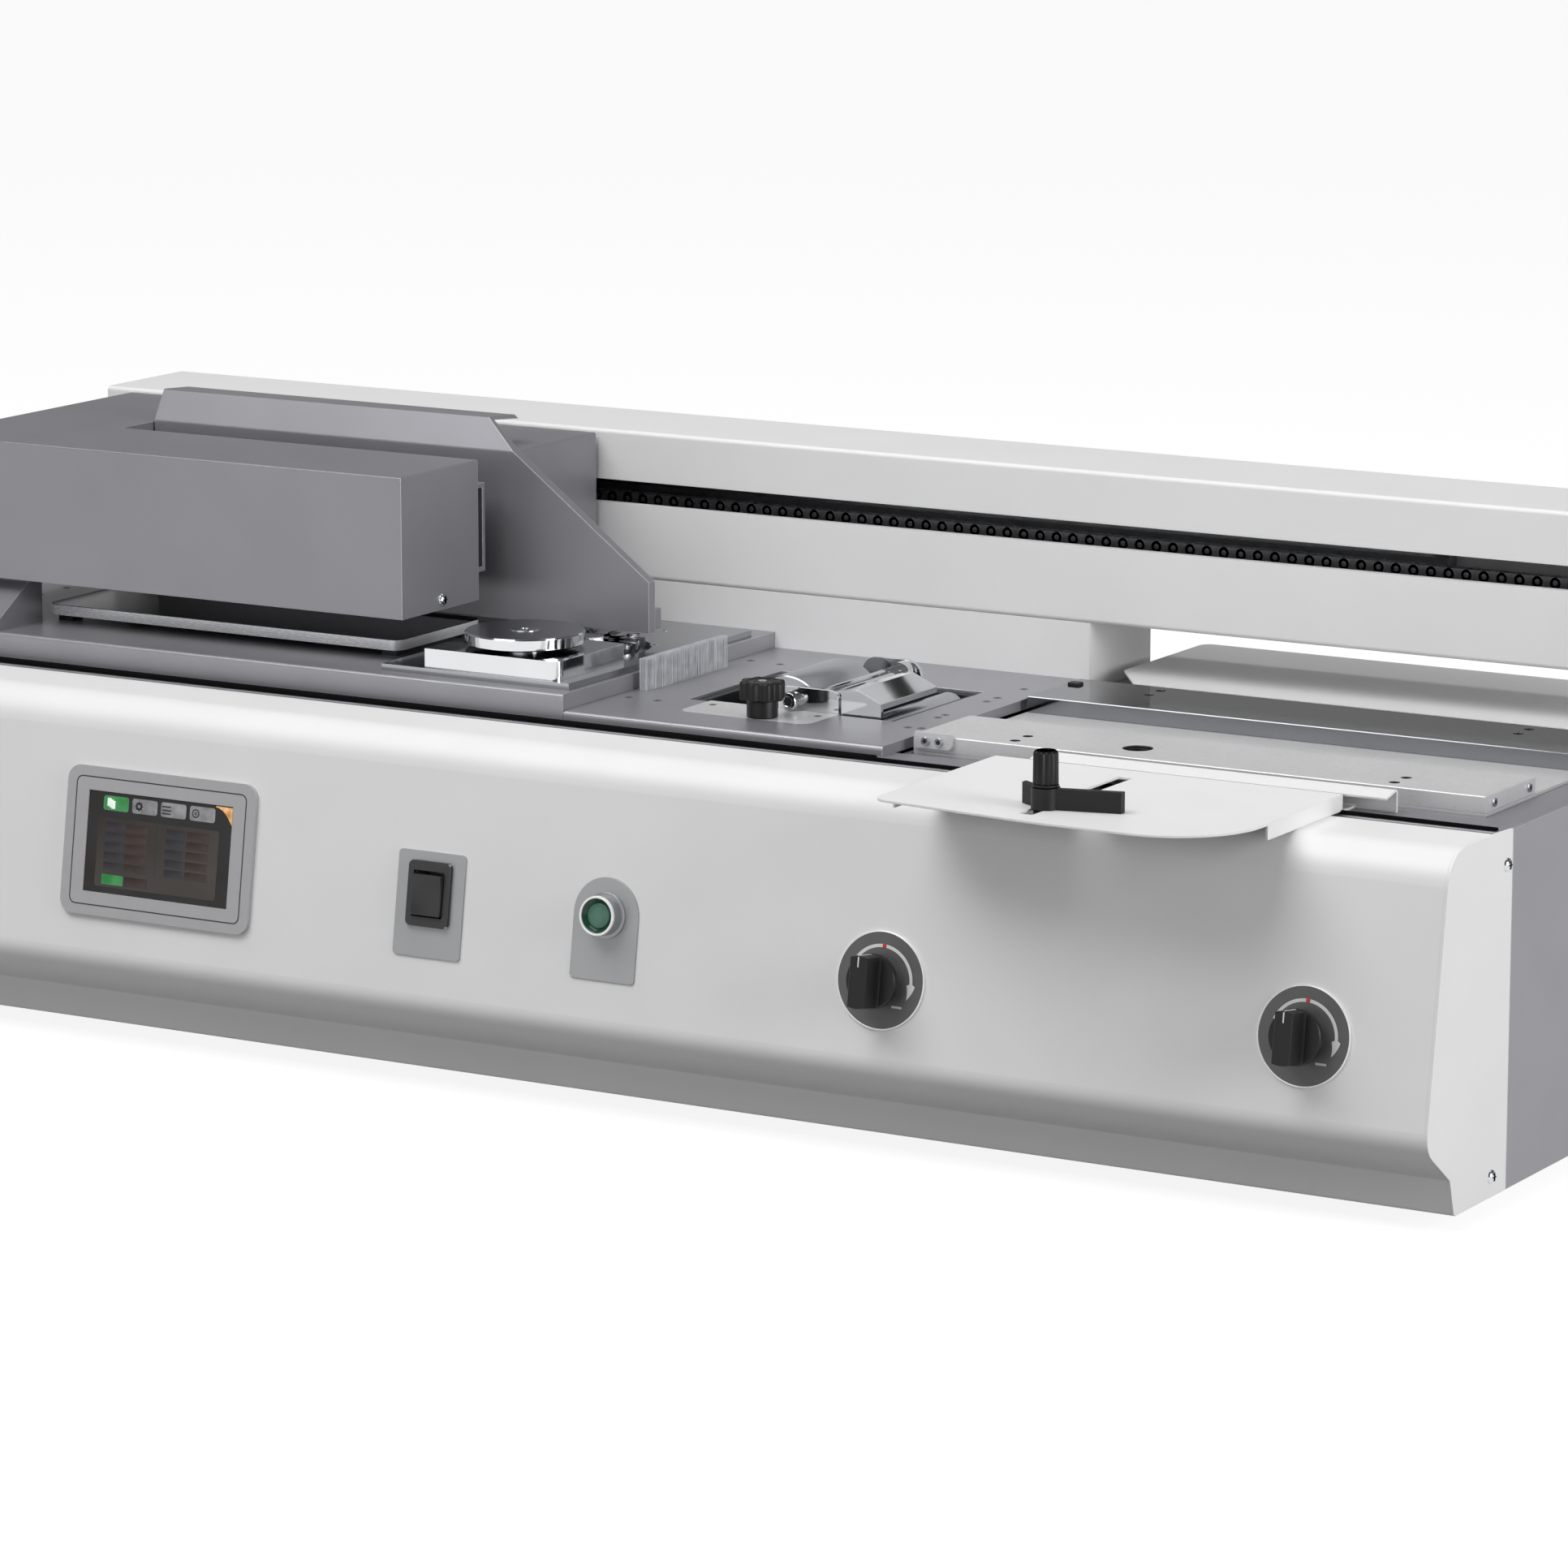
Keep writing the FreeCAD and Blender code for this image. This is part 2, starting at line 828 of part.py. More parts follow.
rail_back = pan_back - beam_wall
rail_front = rail_back - rail_back_depth - rail_depth
tongue_z1 = slot_z + slot_height - tongue_gap
tongue_z0 = tongue_z1 - tongue_thickness
rail_mid = (tongue_z0 + tongue_z1) / 2
sprocket_pitch_radius = chain_pitch / (2 * math.sin(math.pi / sprocket_teeth))
sprocket_z = tongue_z0 - chain_drop - sprocket_pitch_radius
chain_y = beam_front + chain_setback
sprocket_x = right - sprocket_inset
idler_x = left + idler_inset
rail_x1 = right - rail_end_space


def beam_rail():
    """Backing bar with the guide rail, and the idler's bearing arm."""
    bar_x0 = inner_left + rail_end_gap
    bar = box(bar_x0, rail_x1, rail_back - rail_back_depth, rail_back,
              rail_mid - rail_back_height / 2, rail_mid + rail_back_height / 2)
    lead = rail_end_gap / 2
    rail = box(bar_x0 + lead, rail_x1 - lead, rail_front, rail_back - rail_back_depth,
               rail_mid - rail_height / 2, rail_mid + rail_height / 2)
    cut_y0 = rail_front + rail_depth / 2 - rail_groove
    grooves = [box(left, right, cut_y0, cut_y0 + 2 * rail_groove, z - rail_groove, z + rail_groove)
               for z in (rail_mid - rail_height / 2, rail_mid + rail_height / 2)]
    rail = rail.cut(grooves)
    arm_z1 = rail_mid - rail_back_height / 2 - touch_gap
    arm = box(idler_x - idler_arm_width / 2, idler_x + idler_arm_width / 2,
              chain_y + chain_width / 2 + idler_arm_gap, rail_back,
              sprocket_z - idler_arm_width / 2, arm_z1)
    return group([fuse(bar, rail), arm])


chain_width = roller_length + 2 * chain_plate


def loop_plate(radius, y0, thickness):
    """Stadium plate round both sprocket axes, at a given radius."""
    up = sprocket_z + radius
    down = sprocket_z - radius
    edges = [
        Part.makeLine(V(idler_x, y0, up), V(sprocket_x, y0, up)),
        Part.Arc(V(sprocket_x, y0, up), V(sprocket_x + radius, y0, sprocket_z),
                 V(sprocket_x, y0, down)).toShape(),
        Part.makeLine(V(sprocket_x, y0, down), V(idler_x, y0, down)),
        Part.Arc(V(idler_x, y0, down), V(idler_x - radius, y0, sprocket_z),
                 V(idler_x, y0, up)).toShape(),
    ]
    return Part.Face(Part.Wire(edges)).extrude(V(0, thickness, 0))


def drive_chain():
    """Chain loop: two rows of link plates with the rollers between them."""
    outer_radius = sprocket_pitch_radius + chain_height / 2
    inner_radius = sprocket_pitch_radius - chain_height / 2
    plates = []
    for y0 in (chain_y - chain_width / 2, chain_y + roller_length / 2):
        ring = loop_plate(outer_radius, y0, chain_plate)
        plates.append(ring.cut(loop_plate(inner_radius, y0, chain_plate)))
    strips = []
    clear = sprocket_pitch_radius + chain_height
    for z in (sprocket_z + sprocket_pitch_radius, sprocket_z - sprocket_pitch_radius):
        strips.append(box(idler_x + clear, sprocket_x - clear, chain_y - roller_length / 2,
                          chain_y + roller_length / 2, z - chain_height / 4, z + chain_height / 4))
    return fuse(plates[0], plates[1], *strips)


def sprocket(x, y1):
    """Toothed wheel on its axle, which ends at y1 at the back."""
    y0 = chain_y - axle_radius
    tip = sprocket_pitch_radius + chain_height / 4
    wheel = fluted(x, chain_y - sprocket_thickness / 2, sprocket_z, tip, chain_height * 0.75,
                   sprocket_teeth, 4, sprocket_thickness, "y")
    return fuse(wheel, prism(x, y0, sprocket_z, axle_radius, y1 - y0, 8, "y"))


def chain_motor():
    """Gear motor inside the right end of the beam, on the beam's back wall."""
    y0 = rail_back - chain_motor_length
    return prism(sprocket_x, y0, sprocket_z, chain_motor_radius, chain_motor_length, motor_sides, "y")


truck_y0 = rail_front - truck_wall
truck_front = carriage_y1 - tongue_depth


def truck():
    """Block that rides on the rail, with the tongue that passes the slot."""
    x0 = carriage_mid - tongue_length_x / 2
    x1 = carriage_mid + tongue_length_x / 2
    block = box(x0, x1, truck_y0, truck_y0 + truck_depth, rail_mid - truck_height / 2,
                rail_mid + truck_height / 2)
    gap = touch_gap
    groove = box(x0 - 1, x1 + 1, rail_front - gap, truck_y0 + truck_depth + 1,
                 rail_mid - rail_height / 2 - gap, rail_mid + rail_height / 2 + gap)
    tongue = box(x0, x1, truck_front, truck_y0 + 1, tongue_z0, tongue_z1)
    lug = box(carriage_mid - chain_lug / 2, carriage_mid + chain_lug / 2, chain_y - chain_width / 2, chain_y + chain_width / 2,
              sprocket_z + sprocket_pitch_radius + chain_height / 2 + gap, tongue_z0)
    return fuse(block.cut(groove), tongue, lug)


def carriage_cover():
    """Grey sheet cover: two arms joined at the left, with the book slit between them."""
    wall = sheet_wall
    jaw_back = jaw_face + jaw_thickness + touch_gap
    outer = box(carriage_left, carriage_right, carriage_y0, carriage_y1, carriage_z, carriage_top)
    top = [e for e in outer.Edges if abs(e.CenterOfMass.z - carriage_top) < 1e-6]
    outer = outer.makeFillet(wall, top)
    slit = box(slit_left, carriage_right + 1, slit_front, jaw_back, carriage_z - 1, carriage_top + 1)
    inner = box(carriage_left + wall, carriage_right - wall, carriage_y0 + wall, carriage_y1 - wall,
                carriage_z - 1, carriage_top - wall)
    keep = box(slit_left - wall, carriage_right + 1, slit_front - wall, jaw_back + wall,
               carriage_z - 2, carriage_top + 1)
    cover = outer.cut(slit).cut(inner.cut(keep))
    jaw_z = carriage_z + front_jaw_drop
    edge = 2 * wall
    window = box(slit_left, carriage_right - edge, slit_front - wall - 1, slit_front + 1,
                 jaw_z - edge, jaw_z + front_jaw_height + edge)
    sill = box(slit_left + edge, carriage_right - sill_inset, jaw_back - 1, jaw_back + wall + 1,
               carriage_z - 1, carriage_z + carriage_plate_lift + carriage_plate + 1)
    gap = touch_gap
    door = box(carriage_mid - tongue_length_x / 2 - gap, carriage_mid + tongue_length_x / 2 + gap,
               carriage_y1 - wall - 1, carriage_y1 + 1, tongue_z0 - gap, tongue_z1 + gap)
    return cover.cut([window, sill, door])


plate_z0 = carriage_z + carriage_plate_lift
plate_z1 = plate_z0 + carriage_plate


def carriage_frame():
    """U-shaped plate inside the cover, with the upright that meets the truck."""
    wall = sheet_wall
    gap = touch_gap
    jaw_back = jaw_face + jaw_thickness
    plate = box(carriage_left + wall + gap, carriage_right - wall - gap, carriage_y0 + wall + gap,
                carriage_y1 - wall - gap, plate_z0, plate_z1)
    mouth = box(slit_left - wall - gap, carriage_right, slit_front - wall - gap, jaw_back,
                plate_z0 - 1, plate_z1 + 1)
    side = box(carriage_right - sill_inset - cut_gap, carriage_right, jaw_back - 1, jaw_back + wall + 2 * gap,
               plate_z0 - 1, plate_z1 + 1)
    heel = box(slit_left - wall - gap, slit_left + 2 * wall + cut_gap, jaw_back - 1, jaw_back + wall + 2 * gap,
               plate_z0 - 1, plate_z1 + 1)
    x0 = carriage_mid - tongue_length_x / 2
    x1 = carriage_mid + tongue_length_x / 2
    upright = box(x0, x1, truck_front, carriage_y1 - wall - gap, plate_z1, tongue_z0)
    return fuse(plate.cut([mouth, side, heel]), upright)


def rear_jaw():
    """Fixed jaw: a thick plate with a leaning lip, a long nose and a foot."""
    z0 = carriage_z - jaw_drop
    z1 = carriage_top + cut_gap
    back = jaw_face + jaw_thickness
    lip_z = z1 + jaw_lip_rise
    lip_y = jaw_face + jaw_lip_lean
    t = jaw_flange_thickness
    x0 = slit_left + 1
    x1 = carriage_right + jaw_right_reach
    points = [
        (jaw_face, z0), (back, z0), (back, z1), (lip_y + t, lip_z - t),
        (lip_y + jaw_flange, lip_z - t - jaw_flange_fall),
        (lip_y + jaw_flange, lip_z - jaw_flange_fall), (lip_y, lip_z),
        (jaw_face, z1),
    ]
    radii = [0, 0, 0, 0, 0, 0, t, t]
    jaw = outline(points, radii, lambda u, v: V(x0, u, v), V(x1 - x0, 0, 0))
    foot = box(x0, x1 - 2 * t, back - t, back + jaw_foot_depth, z0, z0 + jaw_foot_height)
    nose = [
        (x1 - jaw_chamfer_length, lip_z + 1), (x1 + 1, lip_z + 1),
        (x1 + 1, lip_z - jaw_chamfer_height), (x1, lip_z - jaw_chamfer_height),
        (x1 - jaw_chamfer_length, lip_z),
    ]
    chamfer = outline(nose, [0] * 5, lambda u, v: V(u, jaw_face - 1, v), V(0, 3 * jaw_flange, 0))
    return fuse(jaw, foot).cut(chamfer)


jaw_x0 = slit_left + 2.5
jaw_x1 = carriage_right - front_jaw_inset
jaw_z0 = carriage_z + front_jaw_drop
jaw_z1 = jaw_z0 + front_jaw_height
jaw_mid_z = (jaw_z0 + jaw_z1) / 2
web_back = jaw_face - front_jaw_gap
web_front = web_back - front_jaw_web
nut_front = web_front - jaw_sleeve_length
rod_end = web_front - jaw_open_travel - 1.5
clamp_x = (jaw_x0 + jaw_x1) / 2
rod_xs = [clamp_x - guide_rod_spacing / 2, clamp_x + guide_rod_spacing / 2]


def bar_along_y(x, y, z, half, reach):
    """Square bar along Y round a centre line."""
    return box(x - half, x + half, y, y + reach, z - half, z + half)


def front_jaw():
    """Moving jaw: a channel with its nut and two guide sleeves."""
    web = box(jaw_x0, jaw_x1, web_front, web_back, jaw_z0, jaw_z1)
    depth_y = front_jaw_depth
    flanges = [
        box(jaw_x0, jaw_x1, web_front - depth_y, web_front, jaw_z0, jaw_z0 + front_jaw_web),
        box(jaw_x0, jaw_x1, web_front - depth_y, web_front, jaw_z1 - front_jaw_web, jaw_z1),
    ]
    sleeves = []
    bores = [rod(clamp_x, nut_front - 1, jaw_mid_z, screw_radius + running_gap, jaw_sleeve_length + 1,
                 "y")]
    for x in [clamp_x] + rod_xs:
        sleeves.append(bar_along_y(x, nut_front, jaw_mid_z, screw_radius + nut_wall,
                                   jaw_sleeve_length))
    for x in rod_xs:
        bores.append(bar_along_y(x, nut_front - 1, jaw_mid_z, guide_bar_half + running_gap,
                                 jaw_sleeve_length + 1))
    return fuse(web, *flanges, *sleeves).cut(bores)


def guide_rods():
    """Two square bars with their posts, which carry the moving jaw."""
    wall = sheet_wall
    y0 = carriage_y0 + wall + touch_gap
    rods = []
    for x in rod_xs:
        half = 2 * guide_bar_half
        post = box(x - half, x + half, y0, y0 + half, plate_z1, jaw_mid_z + half)
        rods.append(fuse(post, bar_along_y(x, y0, jaw_mid_z, guide_bar_half, rod_end - y0)))
    return group(rods)


motor_back = nut_front - jaw_open_travel - 1.0


def clamp_motor():
    """Motor that turns the clamp screw."""
    half = clamp_motor_width / 2
    y0 = carriage_y0 + sheet_wall + touch_gap
    body = box(clamp_x - half, clamp_x + half, y0, motor_back, jaw_mid_z - half, jaw_mid_z + half)
    along = [e for e in body.Edges if abs(e.Length - (motor_back - y0)) < 1e-6]
    body = body.makeChamfer(clamp_motor_width / 10, along)
    foot = box(clamp_x - half / 2, clamp_x + half / 2, y0, motor_back, plate_z1, jaw_mid_z - half + 1)
    return fuse(body, foot)


def clamp_screw():
    """Lead screw between the motor and the jaw's nut."""
    y0 = motor_back + touch_gap
    return rod(clamp_x, y0, jaw_mid_z, screw_radius, rod_end - y0, "y")


level_x0 = inner_left + hood_length + level_hood_gap
level_x1 = mill_right - mill_plate_inset - mill_plate_length - level_mill_gap
level_z0 = mill_top + level_plate_lift
level_y0 = book_y - level_plate_front


def level_plate():
    """Thick plate that levels the spine, on four short posts."""
    x0 = level_x0
    x1 = level_x1
    y0 = level_y0
    y1 = y0 + level_plate_depth
    z1 = level_z0 + level_plate_thickness
    plate = rounded_plate(x0, x1, y0, y1, level_z0, z1, level_plate_corner)
    posts = []
    half = level_hole_inset / 2
    for x in (x0 + level_hole_inset, x1 - level_hole_inset):
        for y in (y0 + level_hole_inset, y1 - level_hole_inset):
            posts.append(box(x - half, x + half, y - half, y + half, mill_top, level_z0))
    return group([plate] + posts)


plate_x1 = mill_right - mill_plate_inset
plate_x0 = plate_x1 - mill_plate_length
plate_y0 = deck_front + mill_plate_front
mill_plate_top = mill_top + mill_plate_thickness
block_x1 = plate_x1 - mill_block_inset
block_x0 = block_x1 - mill_block_length
block_y0 = plate_y0 + mill_block_front
block_top = mill_plate_top + mill_block_height


def milling_plate():
    """Polished plate round the cutter well."""
    plate = box(plate_x0, plate_x1, plate_y0, plinth_front - mill_plate_back, mill_top, mill_plate_top)
    return plate.cut(rod(disc_x, cutter_y, mill_top - 1, cutter_well, 2 * mill_block_height))


def milling_block():
    """Chrome block under the disc."""
    y1 = block_y0 + mill_block_depth
    points = [(block_x0, block_y0), (block_x1, block_y0), (block_x1, y1), (block_x0, y1)]
    block = outline(points, [0, mill_block_corner, 0, 0], lambda u, v: V(u, v, mill_plate_top),
                    V(0, 0, mill_block_height))
    return block.cut(rod(disc_x, cutter_y, mill_plate_top - 1, cutter_well, 2 * mill_block_height))


def milling_drive():
    """Spindle box under the deck and its motor."""
    z1 = mill_top - pan_wall
    z0 = z1 - spindle_box_height
    margin = spindle_radius + spindle_box_margin
    x0 = disc_x - 2 * margin
    x1 = disc_x + 2 * margin
    casing = box(x0, x1, disc_y - margin, cutter_y + margin, z0, z1)
    motor = prism(disc_x, (disc_y + cutter_y) / 2, z0 - mill_motor_height, mill_motor_radius,
                  mill_motor_height, motor_sides)
    reach = spindle_reach - spindle_radius
    pocket = rod(disc_x, cutter_y, z1 - reach, spindle_radius + 1, reach + 1)
    return group([casing.cut(pocket), motor])


def milling_disc():
    """Chrome disc on its hub, with a centre cap."""
    z0 = block_top + disc_gap
    z1 = z0 + disc_thickness
    disc = rod(disc_x, disc_y, z0, disc_radius, disc_thickness)
    disc = disc.makeChamfer(disc_thickness / 10, [disc.Edges[0]])
    cap = Part.makeCone(disc_cap_radius, disc_cap_radius * 0.9, disc_thickness / 10,
                        V(disc_x, disc_y, z1))
    hub = prism(disc_x, disc_y, block_top + touch_gap, 2 * spindle_radius, disc_gap, 12)
    return fuse(disc, cap, hub)


def milling_cutter():
    """Cutter disc with carbide teeth, in its well."""
    z0 = mill_top + cutter_lift
    z1 = z0 + cutter_thickness
    disc = rod(disc_x, cutter_y, z0, cutter_radius - cutter_tooth, cutter_thickness)
    teeth = []
    for i in range(cutter_teeth):
        tooth = box(cutter_radius - cutter_tooth * 2.2, cutter_radius, -cutter_tooth, 0,
                    z0 + cutter_thickness * 0.3, z1 + 1.2)
        tooth.rotate(V(0, 0, 0), V(0, 0, 1), 360.0 * i / cutter_teeth)
        tooth.translate(V(disc_x, cutter_y, 0))
        teeth.append(tooth)
    foot = mill_top - pan_wall - spindle_reach + spindle_radius + touch_gap
    spindle = prism(disc_x, cutter_y, foot, spindle_radius, z0 - foot + 1, 12)
    cap = prism(disc_x, cutter_y, z1, 2 * spindle_radius, cutter_thickness / 10, 12)
    return fuse(disc, spindle, cap, *teeth)


def brush_holder():
    """Grooved bar under the glue deck."""
    y0 = brush_y0
    y1 = y0 + brush_length
    z1 = glue_top - pan_wall
    z0 = z1 - brush_holder_height
    half = brush_width / 2
    wall = brush_holder_wall
    end = brush_width
    bar = box(brush_x - half - wall, brush_x + half + wall + end, y0 - end, y1 + end, z0, z1)
    groove = box(brush_x - half, brush_x + half, y0, y1, z1 - brush_root, z1 + 1)
    return bar.cut(groove)


def spine_brush():
    """Block of stiff bristles that sweeps the milled spine."""
    fit = touch_gap / 3
    half = brush_width / 2 - fit
    z0 = glue_top - pan_wall - brush_root
    return box(brush_x - half, brush_x + half, brush_y0 + fit, brush_y0 + brush_length - fit, z0,
               glue_top + brush_height)


flange_top = glue_top - pan_wall
tank_x0 = glue_open_x0 + tank_gap
tank_x1 = glue_open_x1 - tank_gap
tank_y0 = glue_open_y0 + tank_gap
tank_y1 = glue_open_y1 - tank_gap
tank_z0 = flange_top - tank_depth
big_x = glue_open_x0 + big_roller_left
big_z = glue_top + big_roller_proud - big_roller_radius
big_y0 = book_y - big_roller_offset - big_roller_length / 2
small_x = glue_open_x1 - small_roller_right
small_z = glue_top - small_roller_radius
small_y0 = (tank_y0 + tank_y1 - small_roller_length) / 2
gearbox_y1 = pan_back - rear_shelf_width - gearbox_shelf_gap


def glue_tank():
    """Heated tank hung under the deck by its flange."""
    outer = box(tank_x0, tank_x1, tank_y0, tank_y1, tank_z0, flange_top)
    inner = box(tank_x0 + tank_wall, tank_x1 - tank_wall, tank_y0 + tank_wall, tank_y1 - tank_wall,
                tank_z0 + tank_wall, flange_top + 1)
    width = tank_flange_width
    flange = box(glue_open_x0 - width, glue_open_x1 + width, insert_y0 - width,
                 glue_open_y1 + width, flange_top - tank_flange, flange_top)
    return fuse(outer, flange).cut(inner)


def roller(x, y0, z, radius, reach):
    """Glue roller with its two journals."""
    drum = rod(x, y0, z, radius, reach, "y")
    shaft_y0 = tank_y0 + tank_wall + touch_gap
    shaft_y1 = tank_y1 - tank_wall - touch_gap
    return fuse(drum, prism(x, shaft_y0, z, roller_shaft_radius, shaft_y1 - shaft_y0, 8, "y"))


def glue_gearbox():
    """Gear motor at the back of the tank that turns both rollers."""
    z1 = flange_top - tank_flange - touch_gap
    x0 = big_x - big_roller_radius
    x1 = small_x + small_roller_radius
    return box(x0, x1, tank_y1, gearbox_y1, z1 - gearbox_height, z1)


bracket_x0 = glue_open_x0 + bracket_left
bracket_x1 = bracket_x0 + bracket_length
bracket_y0 = tank_y0 + 0.2
rear_bracket_y0 = tank_y1 - bracket_thickness - 0.2
spreader_z = flange_top + bracket_height - spreader_rod_drop
spreader_xs = [bracket_x1 - boss_inset, bracket_x1 - boss_inset - spreader_rod_spacing]


def roller_brackets():
    """Front and rear bracket plates with the two spreader rods between them."""
    t = bracket_thickness
    z0 = flange_top
    plates = []
    for y0, height, corner in ((bracket_y0, bracket_height, bracket_corner),
                               (rear_bracket_y0, end_plate_height, end_plate_corner)):
        points = [(bracket_x0, z0), (bracket_x1, z0), (bracket_x1, z0 + height),
                  (bracket_x0, z0 + height)]
        plates.append(outline(points, [0, 0, corner, corner],
                              lambda u, v, y=y0: V(u, y, v), V(0, t, 0)))
    boss = rod(bracket_x0 + boss_inset, bracket_y0 - boss_reach, z0 + bracket_height / 2,
               boss_radius, boss_reach + 1, "y")
    rods = []
    for x in spreader_xs:
        rods.append(prism(x, bracket_y0 + 1, spreader_z, spreader_rod_radius,
                          rear_bracket_y0 - bracket_y0, 12, "y"))
    collar = rod(spreader_xs[0], rear_bracket_y0 - collar_length, spreader_z, collar_radius,
                 collar_length, "y")
    return fuse(plates[0], plates[1], boss, collar, *rods)


def glue_cover():
    """Roof-shaped sheet over the small roller, closed at the front."""
    x0 = glue_open_x0 + glue_cover_left
    x1 = x0 + glue_cover_length
    z0 = flange_top
    z1 = z0 + glue_cover_height
    ridge_z = z1 + glue_cover_ridge_rise
    fall_z = ridge_z - glue_cover_fall
    y0 = bracket_y0
    lip = glue_cover_lip
    bend = sheet_wall / 2
    points = [(x0, z0 + lip), (x0, z1), (x0 + glue_cover_ridge, ridge_z), (x1, fall_z),
              (x1, fall_z - lip)]

    def lift(u, v):
        return V(u, y0, v)

    roof = bent_sheet(points[::-1], [bend] * 3, sheet_wall, lift, V(0, glue_cover_depth, 0))
    face = [(x0, z0), (x1, z0), (x1, fall_z), (x0 + glue_cover_ridge, ridge_z), (x0, z1)]
    front = outline(face, [0, 0, bend, bend, bend], lift, V(0, 2 * sheet_wall, 0))
    return fuse(roof, front)


def knob_plate():
    """Pale plate let into the deck under the glue knob."""
    gap = insert_gap
    y1 = tank_y0 - gap
    plate = rounded_plate(insert_x0 + gap, insert_x1 - gap, insert_y0 + gap,
                          y1 + insert_corner, flange_top, glue_top, insert_corner - gap)
    rear = box(insert_x0 - 1, insert_x1 + 1, y1, y1 + insert_depth, flange_top - 1, glue_top + 1)
    return plate.cut(rear)


knob_x = glue_open_x0 + knob_left + insert_left
knob_y = insert_y0 + knob_front


def glue_knob():
    """Black lobed knob that sets the glue film."""
    z0 = glue_top + touch_gap
    z1 = z0 + knob_hub_height
    z2 = z1 + knob_head_height
    hub = prism(knob_x, knob_y, z0, knob_hub_radius, knob_hub_height, 24)
    head = fluted(knob_x, knob_y, z1, knob_head_radius, knob_lobe_dip, knob_lobes, 6,
                  knob_head_height)
    slope = knob_head_height * 1.1
    dome = Part.makeCone(knob_head_radius + slope, knob_head_radius - slope / 4, slope * 1.25,
                         V(knob_x, knob_y, z2 - slope * 1.25))
    return fuse(head.common(dome), hub)


front_nip_travel = nip_opening / 2 + jaw_face_offset - nip_rest_gap
rear_nip_travel = nip_opening / 2 - jaw_face_offset
nip_z0 = rim_z
nip_z1 = nip_z0 + nip_plate_thickness
table_top = nip_z0 - nip_slide_gap
table_z0 = table_top - nip_table_thickness
nip_mid = (nip_left + nip_right) / 2
column_xs = [nip_mid - lift_column_spacing / 2, nip_mid + lift_column_spacing / 2]
tube_z0 = table_z0 - lift_tube_length
lift_body_z1 = table_z0 - nip_table_gap


def nip_deck():
    """Sheet round the lifting table, under the rims."""
    gap = nip_table_gap
    z1 = rim_z - pan_wall
    deck = box(glue_right + touch_gap, inner_right - touch_gap, pan_front + 2 * pan_wall,
               plinth_front - touch_gap, z1 - pan_wall, z1)
    opening = box(nip_left - gap, nip_right + gap, table_y0 - gap, table_y1 + gap,
                  z1 - pan_wall - 1, z1 + 1)
    return deck.cut(opening)


def post(x, z0, z1, half):
    """Square upright on the book line."""
    return box(x - half, x + half, book_y - half, book_y + half, z0, z1)


def nip_table():
    """Lifting slab with its two guide sleeves and the lift rod."""
    slab = box(nip_left, nip_right, table_y0, table_y1, table_z0, table_top)
    bore = lift_column_radius + running_gap
    sleeves = [post(x, tube_z0, table_z0, lift_column_radius + lift_tube_wall) for x in column_xs]
    bores = [post(x, tube_z0 - 1, table_z0, bore) for x in column_xs]
    lift_rod = post(nip_mid, lift_body_z1 - lift_body_height + nip_lift, table_z0, lift_rod_radius)
    return fuse(slab, lift_rod, *sleeves).cut(bores)


def nip_columns():
    """Two columns on a foot plate, and the lift actuator between them."""
    z0 = floor_z + pan_wall
    plate_top = z0 + column_foot_height
    margin = column_foot_margin
    foot = box(column_xs[0] - margin, column_xs[1] + margin, book_y - column_foot_depth / 2,
               book_y + column_foot_depth / 2, z0, plate_top)
    columns = [post(x, z0, table_z0 - nip_table_gap, lift_column_radius) for x in column_xs]
    body_z0 = plate_top - column_foot_height / 8
    body = post(nip_mid, body_z0, lift_body_z1, lift_body_radius)
    bore = post(nip_mid, lift_body_z1 - lift_body_height, lift_body_z1 + 1,
                lift_rod_radius + running_gap)
    return fuse(foot, body, *columns).cut(bore)


def nip_plate(y0, flip):
    """Clamping plate with its paired screw holes."""
    y1 = y0 + nip_plate_depth
    plate = box(nip_left, nip_right, y0, y1, nip_z0, nip_z1)
    top = [e for e in plate.Edges if abs(e.CenterOfMass.z - nip_z1) < 1e-6]
    plate = plate.makeChamfer(nip_edge, top)
    first = nip_hole_front
    second = nip_hole_front + nip_hole_pitch
    holes = []
    for x in (nip_left + nip_hole_inset, nip_right - nip_hole_inset):
        for offset in (first, second):
            y = y1 - offset if flip else y0 + offset
            holes.append(rod(x, y, nip_z1 - nip_hole_depth, nip_hole_radius, nip_hole_depth + 1))
    if not flip:
        holes.append(rod(nip_left + nip_hole_inset + nip_big_hole_offset, y0 + second,
                         nip_z1 - nip_hole_depth, nip_big_hole_radius, nip_hole_depth + 1))
    return plate.cut(holes)


def nip_bracket():
    """Small bracket on the front plate's left end."""
    x0 = nip_left + nip_bracket_left
    x1 = x0 + nip_bracket_length
    z1 = nip_z1 + nip_bracket_rise
    z0 = z1 - nip_bracket_height
    points = [(x0, z0), (x1, z0), (x1, z1), (x0, z1)]
    y1 = table_y0 - touch_gap / 3
    return outline(points, [0, nip_hole_radius, 0, 0], lambda u, v: V(u, y1 - bracket_thickness, v),
                   V(0, bracket_thickness, 0))


tray_z1 = fascia_top + tray_flange
tray_z0 = tray_z1 - sheet_wall
tray_x0 = nip_left + tray_left
tray_x1 = tray_x0 + tray_length
tray_y0 = -depth / 2
tray_y1 = pan_front + tray_rim_lap
slot_x = tray_x0 + tray_slot_left
guide_x = slot_x + guide_offset
guide_y = tray_y0 + guide_front


